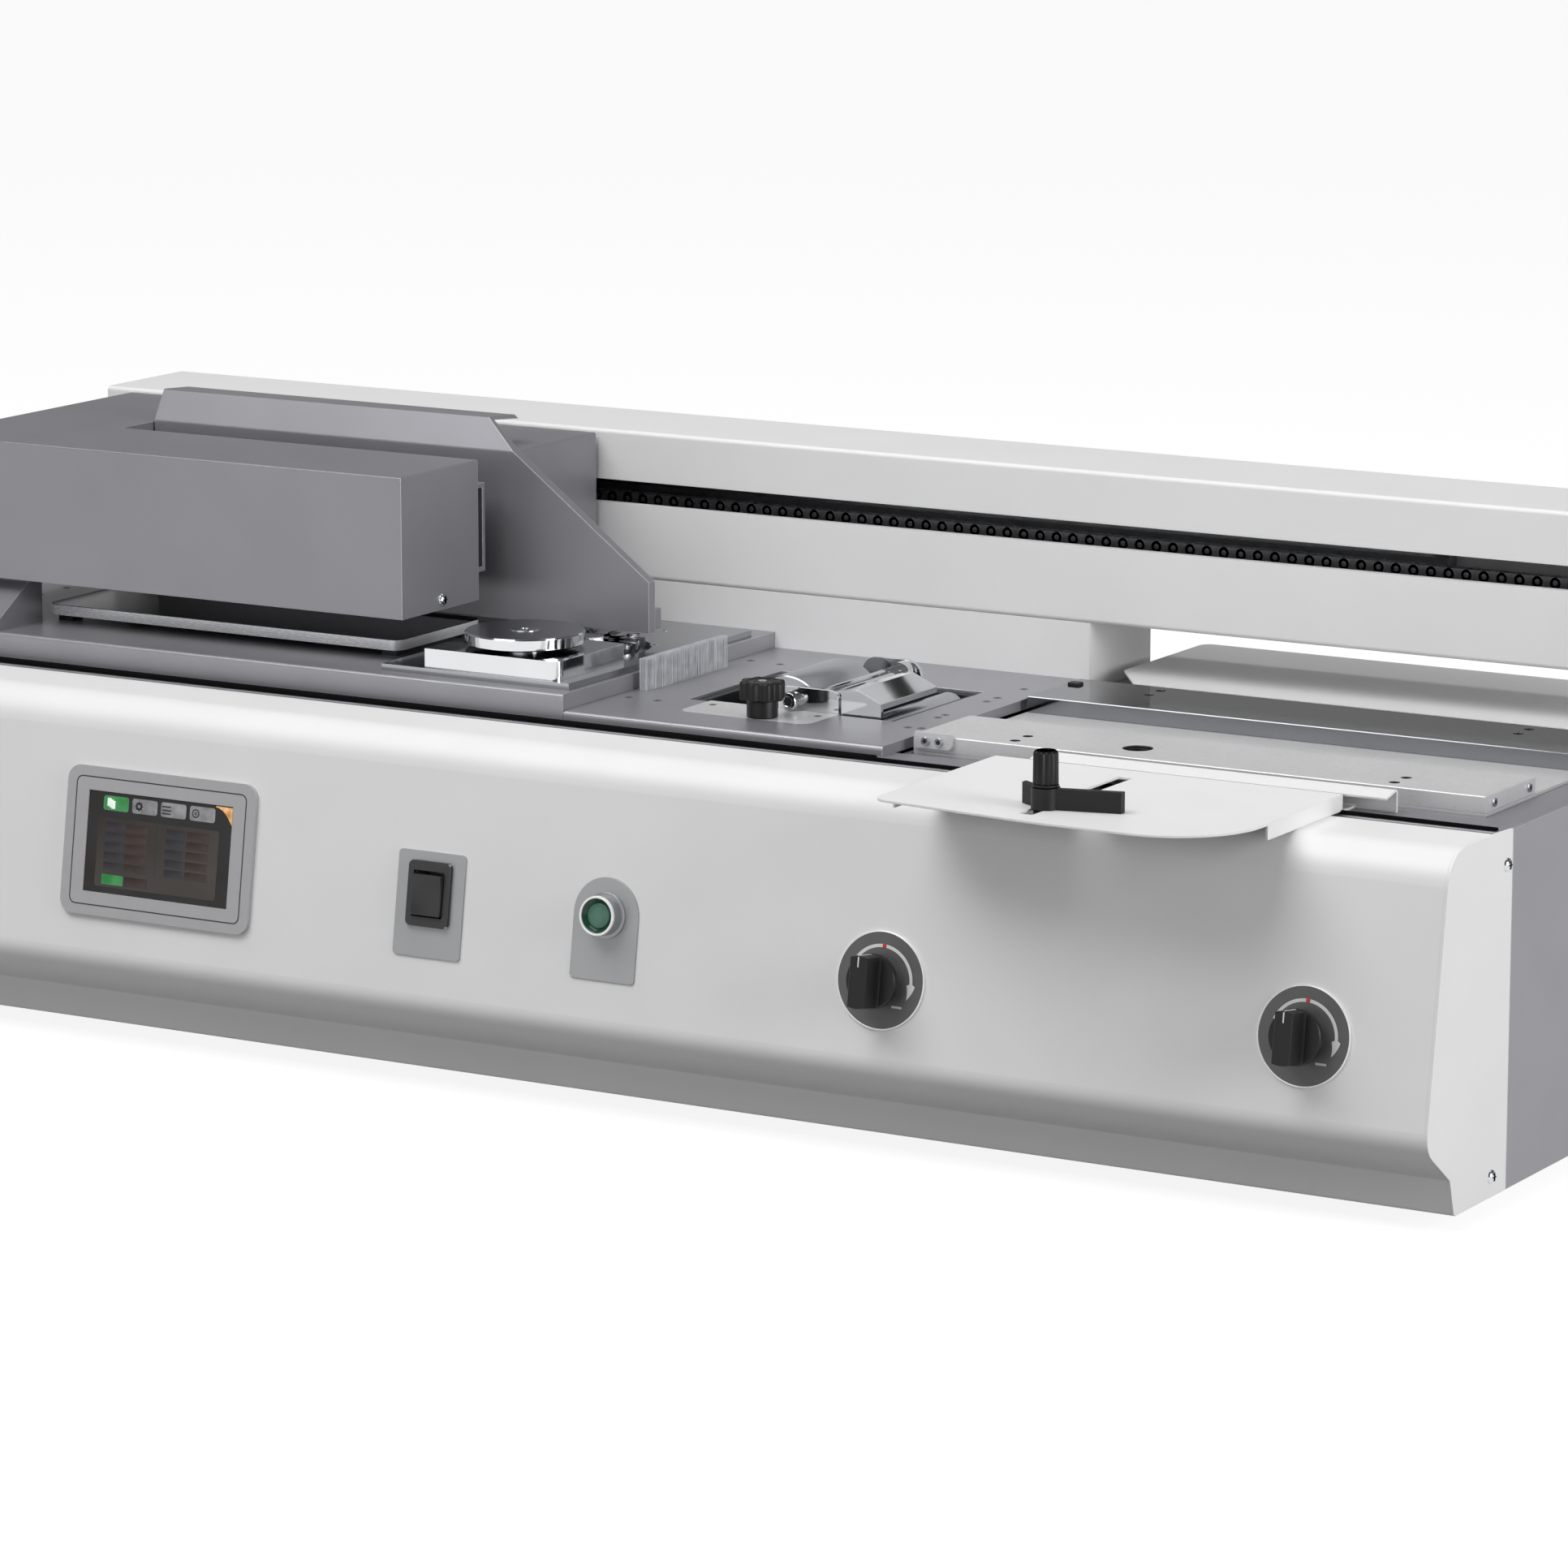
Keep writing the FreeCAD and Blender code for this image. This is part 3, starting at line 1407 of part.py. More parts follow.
def cover_tray():
    """White tray for the front half of the cover, on two side flanges, with a guide slot."""
    middle = (tray_x0 + tray_x1) / 2
    points = [(tray_x0, tray_y0 + tray_front_lean), (middle, tray_y0), (tray_x1, tray_y0),
              (tray_x1, tray_y1), (tray_x0, tray_y1)]
    radii = [tray_corner, 5 * tray_front_radius, tray_front_radius, 0, 0]
    sheet = outline(points, radii, lambda u, v: V(u, v, tray_z0), V(0, 0, sheet_wall))
    flanges = [
        box(tray_x0, tray_x0 + sheet_wall, tray_y0 + left_flange_front, tray_y1, fascia_top, tray_z1),
        box(tray_x1 - sheet_wall, tray_x1, tray_y0 + right_flange_front, tray_y1, fascia_top, tray_z1),
    ]
    tab = box(tray_x1 - tray_tab_width, tray_x1, pan_front + deck_bend, tray_y1 + tray_tab_length,
              rim_z, fascia_top + pan_wall / 4)
    y0 = tray_y0 + tray_slot_front
    half = tray_slot_width / 2
    slot = box(slot_x - half, slot_x + half, y0, y0 + tray_slot_length, tray_z0 - 1, tray_z1 + 1)
    return fuse(sheet, tab, *flanges).cut(slot)


def feed_ramp():
    """White bent strip behind the tray that lifts the cover over the front plate."""
    y0 = tray_y1 + ramp_gap
    y1 = y0 + ramp_depth
    x0 = nip_left + ramp_left
    points = [(y1, rim_z), (y1, tray_z1 + ramp_rise), (y0, tray_z1)]
    strip = bent_sheet(points, [ramp_radius], sheet_wall, lambda u, v: V(x0, u, v),
                       V(ramp_length, 0, 0))
    notch = box(tray_x1 - tray_tab_width - cut_gap, tray_x1 + cut_gap, y0, y1 + cut_gap, rim_z,
                fascia_top + cut_gap)
    return strip.cut(notch)


def rear_tray():
    """Tray behind the rear plate for the back half of the cover, under the beam."""
    z1 = rim_z + rear_tray_rise
    z0 = z1 - sheet_wall
    x0 = nip_left + rear_tray_left
    x1 = right - rear_tray_inset
    y0 = table_y1 + ramp_gap
    y1 = depth / 2
    points = [(x0 + rear_tray_chamfer_length, y0), (x1, y0), (x1, y1), (x0, y1),
              (x0, y0 + rear_tray_chamfer_depth)]
    corner = rear_tray_corner
    sheet = outline(points, [0, 0, corner, corner, 0], lambda u, v: V(u, v, z0), V(0, 0, sheet_wall))
    legs = []
    size = rear_tray_leg
    for x in (x0 + 2 * size, x1 - 3 * size):
        legs.append(box(x, x + size, pan_back - 3 * size, pan_back - size, rim_z, z0 + sheet_wall / 2))
    return fuse(sheet, *legs)


guide_z1 = tray_z1 + touch_gap + guide_bar_height


def tray_guide():
    """Black side guide with its boss, its key in the slot and the nut under the tray."""
    z0 = tray_z1 + touch_gap
    boss = rod(guide_x, guide_y, z0, guide_boss_radius, guide_bar_height)
    thick = guide_bar_thickness
    y0 = guide_y - thick
    y1 = y0 + guide_bar_sweep
    points = [(guide_x - guide_heel, y1), (guide_x, y0), (guide_x + guide_bar_length, y1),
              (guide_x + guide_bar_length, y1 + thick), (guide_x, y0 + thick),
              (guide_x - guide_heel, y1 + thick)]
    bar = outline(points, [0, guide_heel, 0, 0, guide_heel, 0], lambda u, v: V(u, v, z0),
                  V(0, 0, guide_bar_height))
    key_half = tray_slot_width / 2 - touch_gap
    key_reach = guide_bar_thickness / 2
    nut_z1 = tray_z0 - touch_gap
    nut_z0 = nut_z1 - guide_nut_height
    key = box(slot_x - key_half, slot_x + key_half, guide_y - key_reach, guide_y + key_reach, nut_z0,
              z0 + 1)
    nut = prism(slot_x, guide_y, nut_z0, guide_nut_radius, guide_nut_height, 6)
    return fuse(boss, bar, key, nut)


def guide_knob():
    """Fluted knob that clamps the side guide."""
    z0 = guide_z1 + touch_gap
    collar_height = guide_knob_height / 15
    collar = rod(guide_x, guide_y, z0, guide_knob_radius, collar_height)
    grip = fluted(guide_x, guide_y, z0 + collar_height, guide_knob_radius, guide_flute_depth,
                  guide_knob_flutes, 4, guide_knob_height - collar_height)
    return fuse(collar, grip)


def display_bezel():
    """Grey frame of the touch display."""
    t = display_plate_thickness
    plate = panel_plate(display_x, display_slope, display_plate_length, display_plate_width, t,
                        display_plate_corner)
    margin = 2 * display_body_margin
    body = panel_block(display_x, display_slope, display_length + margin, display_width + margin,
                       -display_depth, t / 2)
    window = panel_block(display_x, display_slope, display_length, display_width, -t, 2 * t)
    return on_panel(fuse(plate, body).cut(window))


def display_screen():
    """Glass of the touch display, a little below its frame."""
    t = display_plate_thickness
    gap = touch_gap / 3
    return on_panel(panel_block(display_x, display_slope, display_length - gap, display_width - gap,
                                -t, t - display_recess))


def rocker_housing():
    """Switch plate with the frame and body of the rocker switch."""
    plate = panel_plate(rocker_x, rocker_slope, rocker_plate_length, rocker_plate_width,
                        plate_thickness, rocker_plate_corner)
    frame = panel_block(rocker_x, rocker_s, rocker_frame_length, rocker_frame_width, 0,
                        rocker_frame_rise)
    body = panel_block(rocker_x, rocker_s, rocker_length + rocker_wall, rocker_width + rocker_wall,
                       -rocker_depth - rocker_wall, plate_thickness)
    gap = 2 * touch_gap
    well = panel_block(rocker_x, rocker_s, rocker_length + gap, rocker_width + gap, -rocker_depth,
                       2 * rocker_frame_rise)
    return on_panel(fuse(plate, frame, body).cut(well))


rocker_pivot = rocker_frame_rise - rocker_sink


def rocker():
    """Rocker paddle, tipped to its lower end."""
    rise = rocker_frame_rise - rocker_pivot
    half = rocker_width / 2 - 2 * touch_gap
    nose = rocker_nose
    heel = half - rocker_nose / 2
    points = [(-heel, -rocker_sink), (heel, -rocker_sink), (half, rise - touch_gap),
              (half, rise + nose), (0.0, rise - touch_gap), (-half, rise + nose),
              (-half, rise - touch_gap)]
    paddle = outline(points, [0, 0, 0, 0, 2 * rocker_nose, 0, 0],
                     lambda u, v: V(-rocker_length / 2, u, v), V(rocker_length, 0, 0))
    paddle.rotate(V(0, 0, 0), V(1, 0, 0), rocker_tilt / 2)
    paddle.translate(V(rocker_x, rocker_s, rocker_pivot))
    return on_panel(paddle)


def button_housing():
    """Arched plate with the push button's collar and body."""
    half = button_plate_length / 2
    s0 = button_slope - button_plate_width / 2
    s1 = button_slope + button_plate_width / 2
    points = [(button_x - half, s0), (button_x + half, s0), (button_x + half, s1),
              (button_x - half, s1)]
    arch = half - touch_gap
    corner = rocker_plate_corner
    plate = outline(points, [corner, corner, arch, arch], lambda u, v: V(u, v, 0), V(0, 0, plate_thickness))
    collar = Part.makeCone(button_ring_radius + button_ring_wall / 2, button_ring_radius,
                           button_ring_height, V(button_x, button_s, 0))
    side = 2 * button_body_radius
    body = panel_block(button_x, button_s, side, side, -button_body_depth, plate_thickness)
    mouth = rod(button_x, button_s, button_ring_height - button_stack, button_radius + running_gap,
                2 * button_stack)
    return on_panel(fuse(plate, collar, body).cut(mouth))


def push_button():
    """Green lens that slides in the collar."""
    z0 = button_ring_height - button_stack + button_travel + touch_gap
    z1 = button_ring_height - button_recess
    return on_panel(rod(button_x, button_s, z0, button_radius, z1 - z0))


def dial_plates():
    """Round dial plates, each with its potentiometer behind the fascia."""
    dials = []
    for x in dial_x:
        plate = rod(x, dial_slope, 0, dial_radius, plate_thickness)
        pot = prism(x, dial_slope, -sheet_wall - dial_pot_depth, dial_pot_radius, dial_pot_depth, 8)
        dials += [on_panel(plate), on_panel(pot)]
    return group(dials)


def dial_knob(x):
    """Black rotary knob with its raised grip."""
    z0 = plate_thickness + touch_gap
    reach = dial_knob_radius - dial_grip_lean
    skirt = Part.makeCone(dial_knob_radius, reach, dial_knob_rise, V(x, dial_slope, z0))
    half = dial_grip_width / 2
    points = [(-half - dial_grip_lean, 0), (half + dial_grip_lean, 0), (half, dial_grip_height),
              (-half, dial_grip_height)]
    grip = outline(points, [0] * 4, lambda u, v: V(x + u, dial_slope - reach, z0 + v),
                   V(0, 2 * reach, 0))
    round_off = rod(x, dial_slope, z0, dial_knob_radius, dial_grip_height + 1)
    return on_panel(fuse(skirt, grip.common(round_off)))


def cable_gland():
    """Gland for the mains lead in the back wall."""
    x = left + gland_left
    z = floor_z + gland_height
    half = gland_reach / 2
    nut = prism(x, pan_back, z, gland_radius, half, 6, "y")
    nose = Part.makeCone(gland_radius - gland_step / 2, gland_radius - gland_step, half,
                         V(x, pan_back + half, z), V(0, 1, 0))
    neck = prism(x, pan_back - gland_neck, z, gland_radius - gland_step - touch_gap,
                 gland_neck + 1, 12, "y")
    bore = rod(x, pan_back - gland_neck - 1, z, gland_bore, gland_neck + gland_reach + 2, "y")
    return fuse(nut, nose, neck).cut(bore)


nodes = {
    "base_pan": base_pan(),
    "side_panels": side_panels(),
    "front_fascia": front_fascia(),
    "fascia_end_plates": fascia_end_plates(),
    "rubber_feet": rubber_feet(),
    "milling_deck": milling_deck(),
    "glue_deck": glue_deck(),
    "left_hood": left_hood(),
    "beam_plinth": beam_plinth(),
    "beam_cover": beam_cover(),
    "beam_end_caps": beam_end_caps(),
    "beam_rail": beam_rail(),
    "drive_chain": drive_chain(),
    "drive_sprocket": sprocket(sprocket_x, rail_back - chain_motor_length - touch_gap),
    "idler_sprocket": sprocket(idler_x, chain_y + chain_width / 2 + idler_arm_gap - touch_gap),
    "chain_motor": chain_motor(),
    "truck": truck(),
    "carriage_cover": carriage_cover(),
    "carriage_frame": carriage_frame(),
    "rear_jaw": rear_jaw(),
    "front_jaw": front_jaw(),
    "guide_rods": guide_rods(),
    "clamp_motor": clamp_motor(),
    "clamp_screw": clamp_screw(),
    "level_plate": level_plate(),
    "milling_plate": milling_plate(),
    "milling_block": milling_block(),
    "milling_drive": milling_drive(),
    "milling_disc": milling_disc(),
    "milling_cutter": milling_cutter(),
    "brush_holder": brush_holder(),
    "spine_brush": spine_brush(),
    "glue_tank": glue_tank(),
    "glue_gearbox": glue_gearbox(),
    "large_roller": roller(big_x, big_y0, big_z, big_roller_radius, big_roller_length),
    "small_roller": roller(small_x, small_y0, small_z, small_roller_radius, small_roller_length),
    "roller_brackets": roller_brackets(),
    "glue_cover": glue_cover(),
    "knob_plate": knob_plate(),
    "glue_knob": glue_knob(),
    "nip_deck": nip_deck(),
    "nip_table": nip_table(),
    "nip_columns": nip_columns(),
    "front_nip_plate": group([nip_plate(table_y0, False), nip_bracket()]),
    "rear_nip_plate": nip_plate(table_y1 - nip_plate_depth, True),
    "cover_tray": cover_tray(),
    "feed_ramp": feed_ramp(),
    "rear_tray": rear_tray(),
    "tray_guide": tray_guide(),
    "guide_knob": guide_knob(),
    "display_bezel": display_bezel(),
    "display_screen": display_screen(),
    "rocker_housing": rocker_housing(),
    "rocker": rocker(),
    "button_housing": button_housing(),
    "push_button": push_button(),
    "dial_plates": dial_plates(),
    "dial_knob_left": dial_knob(dial_x[0]),
    "dial_knob_right": dial_knob(dial_x[1]),
    "cable_gland": cable_gland(),
}
for node, shape in nodes.items():
    save(node, shape)
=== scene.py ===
"""Looks of a desktop perfect binding machine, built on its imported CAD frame.

Lengths are metres in the frame's axes: +X to the right, +Y away from the operator, +Z up.
Every new piece is a surface worked out with numpy and placed by the boxes of the CAD nodes.
"""
import logging
import math
from dataclasses import dataclass, field
from enum import Enum
from typing import Callable, Sequence

import bpy
import numpy as np
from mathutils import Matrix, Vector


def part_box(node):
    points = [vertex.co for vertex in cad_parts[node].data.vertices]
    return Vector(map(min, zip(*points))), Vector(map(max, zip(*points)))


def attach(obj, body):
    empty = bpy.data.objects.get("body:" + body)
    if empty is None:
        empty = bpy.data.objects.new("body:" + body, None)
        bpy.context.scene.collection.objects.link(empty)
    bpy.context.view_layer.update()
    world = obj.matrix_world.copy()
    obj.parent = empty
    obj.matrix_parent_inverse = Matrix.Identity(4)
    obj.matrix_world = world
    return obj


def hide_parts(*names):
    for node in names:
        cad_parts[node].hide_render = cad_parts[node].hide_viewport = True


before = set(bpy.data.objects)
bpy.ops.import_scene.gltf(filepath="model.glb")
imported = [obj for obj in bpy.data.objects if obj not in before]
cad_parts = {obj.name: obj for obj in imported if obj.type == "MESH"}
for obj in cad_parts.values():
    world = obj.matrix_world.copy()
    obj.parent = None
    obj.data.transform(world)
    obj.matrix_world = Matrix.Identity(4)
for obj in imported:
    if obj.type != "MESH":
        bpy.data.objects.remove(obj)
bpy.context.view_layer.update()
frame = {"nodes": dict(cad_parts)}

MM = 0.001
LOG = logging.getLogger("binder")


class Body(str, Enum):
    """CAD bodies that the new pieces ride on."""

    BASE = "base"
    CARRIAGE = "carriage"
    DISC = "milling_disc"
    CUTTER = "milling_cutter"
    LARGE_ROLLER = "large_roller"
    SMALL_ROLLER = "small_roller"
    GLUE_KNOB = "glue_knob"
    FRONT_NIP = "front_nip_plate"
    REAR_NIP = "rear_nip_plate"
    GUIDE_KNOB = "guide_knob"
    ROCKER = "rocker"
    BUTTON = "push_button"
    LEFT_DIAL = "dial_knob_left"
    RIGHT_DIAL = "dial_knob_right"


class Drive(Enum):
    """How a screw head is driven."""

    CROSS = "cross"
    SOCKET = "socket"
    FLUSH = "flush"


def linear(code: str) -> tuple[float, float, float, float]:
    """Turn an sRGB colour code into Blender's linear colour.

    Args:
        code: six hexadecimal digits.

    Returns:
        Linear red, green and blue with full alpha.
    """
    parts = [int(code[i:i + 2], 16) / 255 for i in (0, 2, 4)]
    low = [p / 12.92 if p <= 0.04045 else ((p + 0.055) / 1.055) ** 2.4 for p in parts]
    return (low[0], low[1], low[2], 1.0)


def add_node(tree: bpy.types.NodeTree, kind: str, values: dict | None = None,
             links: dict | None = None, **settings: object) -> bpy.types.Node:
    """Add one shader node.

    Args:
        tree: node tree that takes the node.
        kind: Blender's name of the node type.
        values: constants by input name or number.
        links: sockets to join, by input name or number.
        **settings: attributes of the node itself.

    Returns:
        The new node.
    """
    node = tree.nodes.new(kind)
    for name, value in settings.items():
        setattr(node, name, value)
    for name, value in (values or {}).items():
        node.inputs[name].default_value = value
    for name, socket in (links or {}).items():
        tree.links.new(socket, node.inputs[name])
    return node


def cleared(owner: bpy.types.Material | bpy.types.World) -> bpy.types.NodeTree:
    """Switch a material or a world to nodes and empty its tree.

    Args:
        owner: material or world.

    Returns:
        Its empty node tree.
    """
    owner.use_nodes = True
    owner.node_tree.nodes.clear()
    return owner.node_tree


def linked(name: str, data: bpy.types.ID) -> bpy.types.Object:
    """Make an object and link it to the scene.

    Args:
        name: name of the object.
        data: its mesh, lamp or camera data.

    Returns:
        The object.
    """
    made = bpy.data.objects.new(name, data)
    bpy.context.scene.collection.objects.link(made)
    return made


@dataclass(frozen=True)
class Finish:
    """A surface finish named after its real material and process, or after the painted light or shade that
    it stands for.

    Attributes:
        name: name of the material.
        colour: sRGB colour code of the surface.
        rough: mean roughness.
        grain: size of the finest visible grain, in millimetres.
        bump: depth of that grain, in millimetres.
        spread: how much the colour changes from place to place.
    """

    name: str
    colour: str
    rough: float = 0.4
    grain: float = 0.6
    bump: float = 0.01
    spread: float = 0.03

    def material(self) -> bpy.types.Material:
        """Build the material once and hand it out again later.

        Returns:
            The material with its node tree.
        """
        made = bpy.data.materials.get(self.name)
        if made:
            return made
        made = bpy.data.materials.new(self.name)
        tree = cleared(made)
        add_node(tree, "ShaderNodeOutputMaterial", None, {"Surface": self.shade(tree)})
        return made

    def place(self, tree: bpy.types.NodeTree) -> bpy.types.NodeSocket:
        """Object coordinates, which are millimetre-true on every piece."""
        return add_node(tree, "ShaderNodeTexCoord").outputs["Object"]

    def noise(self, tree: bpy.types.NodeTree, size: float, detail: float = 3.0,
              stretch: tuple[float, float, float] = (1.0, 1.0, 1.0)) -> bpy.types.NodeSocket:
        """Noise with a real grain size.

        Args:
            tree: node tree that takes the nodes.
            size: grain size in millimetres.
            detail: number of finer layers.
            stretch: factor per axis, below 1 for grain drawn out along that axis.

        Returns:
            The noise value from 0 to 1.
        """
        scaled = add_node(tree, "ShaderNodeMapping", {"Scale": stretch},
                          {"Vector": self.place(tree)})
        made = add_node(tree, "ShaderNodeTexNoise", {"Scale": 1.0 / (size * MM), "Detail": detail},
                        {"Vector": scaled.outputs["Vector"]})
        return made.outputs["Fac"]

    def between(self, tree: bpy.types.NodeTree, value: bpy.types.NodeSocket, low: float,
                high: float) -> bpy.types.NodeSocket:
        """Map the middle of a noise onto a range.

        Args:
            tree: node tree that takes the node.
            value: noise value.
            low: result at the noise's lower part.
            high: result at its upper part.

        Returns:
            The mapped value.
        """
        node = add_node(tree, "ShaderNodeMapRange",
                        {"From Min": 0.3, "From Max": 0.7, "To Min": low, "To Max": high},
                        {"Value": value})
        return node.outputs["Result"]

    def tinted(self, tree: bpy.types.NodeTree, value: bpy.types.NodeSocket) -> bpy.types.NodeSocket:
        """Base colour whose brightness follows a noise by the finish's spread.

        Args:
            tree: node tree that takes the nodes.
            value: noise value.

        Returns:
            The colour socket.
        """
        scale = self.between(tree, value, 1.0 - self.spread, 1.0 + self.spread)
        node = add_node(tree, "ShaderNodeHueSaturation", {"Color": linear(self.colour)},
                        {"Value": scale})
        return node.outputs["Color"]

    def normal(self, tree: bpy.types.NodeTree, height: bpy.types.NodeSocket,
               edge: float = 0.4) -> bpy.types.NodeSocket:
        """Normal from a height and from rounded edges.

        Args:
            tree: node tree that takes the nodes.
            height: height from 0 to 1, times the depth of the grain.
            edge: radius of the rounded edges, in millimetres.

        Returns:
            The normal socket.
        """
        bevel = add_node(tree, "ShaderNodeBevel", {"Radius": edge * MM}, samples=4)
        bump = add_node(tree, "ShaderNodeBump", {"Distance": self.bump * MM},
                        {"Height": height, "Normal": bevel.outputs["Normal"]})
        return bump.outputs["Normal"]

    def shade(self, tree: bpy.types.NodeTree) -> bpy.types.NodeSocket:
        """Shader of the finish; each process has its own."""
        raise NotImplementedError


@dataclass(frozen=True)
class PowderCoat(Finish):
    """Baked powder paint: fine orange peel, satin sheen and a painted highlight that whitens rounded
    edges.

    Attributes:
        flake: share of metal flake in the paint.
        edge: radius of the rounded edges, in millimetres.
        pale: strength of the painted edge highlight, how far the colour runs towards white along a rounded
            edge.
    """

    flake: float = 0.0
    edge: float = 0.6
    pale: float = 0.0

    def shade(self, tree: bpy.types.NodeTree) -> bpy.types.NodeSocket:
        """Paint over sheet steel.

        Args:
            tree: node tree that takes the nodes.

        Returns:
            The shader socket.
        """
        peel = self.noise(tree, self.grain, 2.0)
        cloud = self.noise(tree, 60.0, 1.0)
        # The colour runs towards white on rounded edges: a painted highlight.
        colour = add_node(tree, "ShaderNodeMix", {7: (1.0, 1.0, 1.0, 1.0)},
                          {0: self.painted_highlight_share(tree), 6: self.tinted(tree, cloud)}, data_type="RGBA")
        shader = add_node(tree, "ShaderNodeBsdfPrincipled", {"IOR": 1.48, "Metallic": self.flake}, {
            "Base Color": colour.outputs[2],
            "Roughness": self.between(tree, peel, self.rough - 0.04, self.rough + 0.04),
            "Normal": self.normal(tree, peel, self.edge),
        })
        return shader.outputs["BSDF"]

    def painted_highlight_share(self, tree: bpy.types.NodeTree) -> bpy.types.NodeSocket:
        """Share of the white of the painted edge highlight: rises where the rounded normal leaves the flat
        one.

        Args:
            tree: node tree that takes the nodes.

        Returns:
            The share, from 0 on a flat face to the finish's pale value on an edge.
        """
        bevel = add_node(tree, "ShaderNodeBevel", {"Radius": self.edge * MM}, samples=4)
        flat = add_node(tree, "ShaderNodeNewGeometry")
        same = add_node(tree, "ShaderNodeVectorMath", None,
                        {0: bevel.outputs["Normal"], 1: flat.outputs["Normal"]}, operation="DOT_PRODUCT")
        node = add_node(tree, "ShaderNodeMapRange",
                        {"From Min": 0.99, "From Max": 0.8, "To Min": 0.0, "To Max": self.pale},
                        {"Value": same.outputs["Value"]})
        return node.outputs["Result"]


@dataclass(frozen=True)
class Metal(Finish):
    """Metal whose tool marks run along one axis.

    Attributes:
        marks: factor of the grain per axis, small along the marks.
        edge: radius of the rounded edges, in millimetres.
        bare: 1 for bare metal, less under an oxide layer.
    """

    marks: tuple[float, float, float] = (0.04, 1.0, 1.0)
    edge: float = 0.3
    bare: float = 1.0

    def shade(self, tree: bpy.types.NodeTree) -> bpy.types.NodeSocket:
        """Metal with drawn-out tool marks.

        Args:
            tree: node tree that takes the nodes.

        Returns:
            The shader socket.
        """
        lines = self.noise(tree, self.grain, 4.0, self.marks)
        wear = self.noise(tree, 35.0, 2.0)
        shader = add_node(tree, "ShaderNodeBsdfPrincipled", {"Metallic": self.bare}, {
            "Base Color": self.tinted(tree, wear),
            "Roughness": self.between(tree, lines, self.rough * 0.75, self.rough * 1.25),
            "Normal": self.normal(tree, lines, self.edge),
        })
        return shader.outputs["BSDF"]


@dataclass(frozen=True)
class Moulded(Finish):
    """Moulded plastic or rubber with a spark-eroded grain.

    Attributes:
        edge: radius of the rounded edges, in millimetres.
        ior: refractive index of the surface, lowered by a grain that scatters.
    """

    edge: float = 0.25
    ior: float = 1.5

    def shade(self, tree: bpy.types.NodeTree) -> bpy.types.NodeSocket:
        """Plastic with a fine mould grain.

        Args:
            tree: node tree that takes the nodes.

        Returns:
            The shader socket.
        """
        grain = self.noise(tree, self.grain, 3.0)
        shader = add_node(tree, "ShaderNodeBsdfPrincipled", {"IOR": self.ior}, {
            "Base Color": self.tinted(tree, self.noise(tree, 8.0, 1.0)),
            "Roughness": self.between(tree, grain, self.rough - 0.06, self.rough + 0.06),
            "Normal": self.normal(tree, grain, self.edge),
        })
        return shader.outputs["BSDF"]


@dataclass(frozen=True)
class Lit(Finish):
    """Glowing or glossy layer, such as a patch of the display, or the button's lens whose glow is painted
    light.

    Attributes:
        glow: strength of its own light, real on the display and painted light on the button's lens.
        second: sRGB colour code that the first one runs into.
        run: length over which the colours change, in millimetres.
    """

    glow: float = 0.0
    second: str = ""
    run: float = 20.0

    def shade(self, tree: bpy.types.NodeTree) -> bpy.types.NodeSocket:
        """Gloss over a colour that fades into a second one.

        Args:
            tree: node tree that takes the nodes.

        Returns:
            The shader socket.
        """
        cloud = self.noise(tree, self.run, 2.0)
        share = self.between(tree, cloud, 0.0, 1.0)
        mix = add_node(tree, "ShaderNodeMix", {6: linear(self.colour),
                                               7: linear(self.second or self.colour)},
                       {0: share}, data_type="RGBA")
        shader = add_node(tree, "ShaderNodeBsdfPrincipled",
                          {"Roughness": self.rough, "Emission Strength": self.glow, "IOR": 1.4},
                          {"Base Color": mix.outputs[2], "Emission Color": mix.outputs[2]})
        return shader.outputs["BSDF"]


# Powder paint: plain white, greys whose metal flake darkens them towards the sky and whose rounded edges
# carry a painted highlight, black motor cases
WHITE_COAT = PowderCoat("powder_coat_white", "E4E4E4", 0.42, 0.5, 0.012, 0.012)
GREY_COAT = PowderCoat("powder_coat_grey", "909095", 0.42, 0.5, 0.02, 0.03, flake=0.5,
                       edge=0.7, pale=0.75)
DECK_COAT = PowderCoat("powder_coat_deck_grey", "A0A0A5", 0.34, 0.5, 0.02, 0.03, flake=0.6,
                       edge=0.7, pale=0.75)
MOTOR_CASE = PowderCoat("motor_case_black", "3A3B3E", 0.5, 0.4, 0.02, 0.05)
# Milled and anodised aluminium is pale and dull; blackened steel mirrors what stands behind it
ANODISED = Metal("aluminium_anodised_natural", "CFCFD0", 0.34, 0.25, 0.003, 0.02, bare=0.4)
BLACKENED = Metal("steel_blackened_polished", "4C4D50", 0.07, 0.3, 0.001, 0.02)
MIRROR_STEEL = Metal("steel_ground_mirror", "8A8B8E", 0.08, 0.3, 0.001, 0.02)
# Hard chrome on block and disc keeps a mirror; lapped faces spread it a little
CHROME = Metal("chrome_polished", "DADBDD", 0.07, 0.4, 0.001, 0.02, (1.0, 1.0, 0.05))
CHROME_FACE = Metal("chrome_lapped", "BCBDC1", 0.22, 0.2, 0.002, 0.04)
MIRROR_PLATE = Metal("steel_ground_polished", "A4A5A8", 0.14, 0.3, 0.002, 0.03)
# Turned steel shows fine rings, zinc plate none; an oiled chain and a sand-cast tank are dull and dark
STEEL = Metal("steel_turned", "C4C5C8", 0.2, 0.2, 0.003, 0.04, (1.0, 1.0, 0.06))
ZINC = Metal("steel_zinc_plated", "D2D4D8", 0.16, 0.3, 0.003, 0.05, (1.0, 1.0, 1.0))
CARBIDE = Metal("carbide_ground", "9A9B9E", 0.22, 0.1, 0.003, 0.04)
CHAIN_STEEL = Metal("chain_steel_oiled", "77787C", 0.35, 0.2, 0.004, 0.12, bare=0.6)
TANK_METAL = Metal("aluminium_cast", "55565A", 0.5, 1.2, 0.06, 0.06, (1.0, 1.0, 1.0))
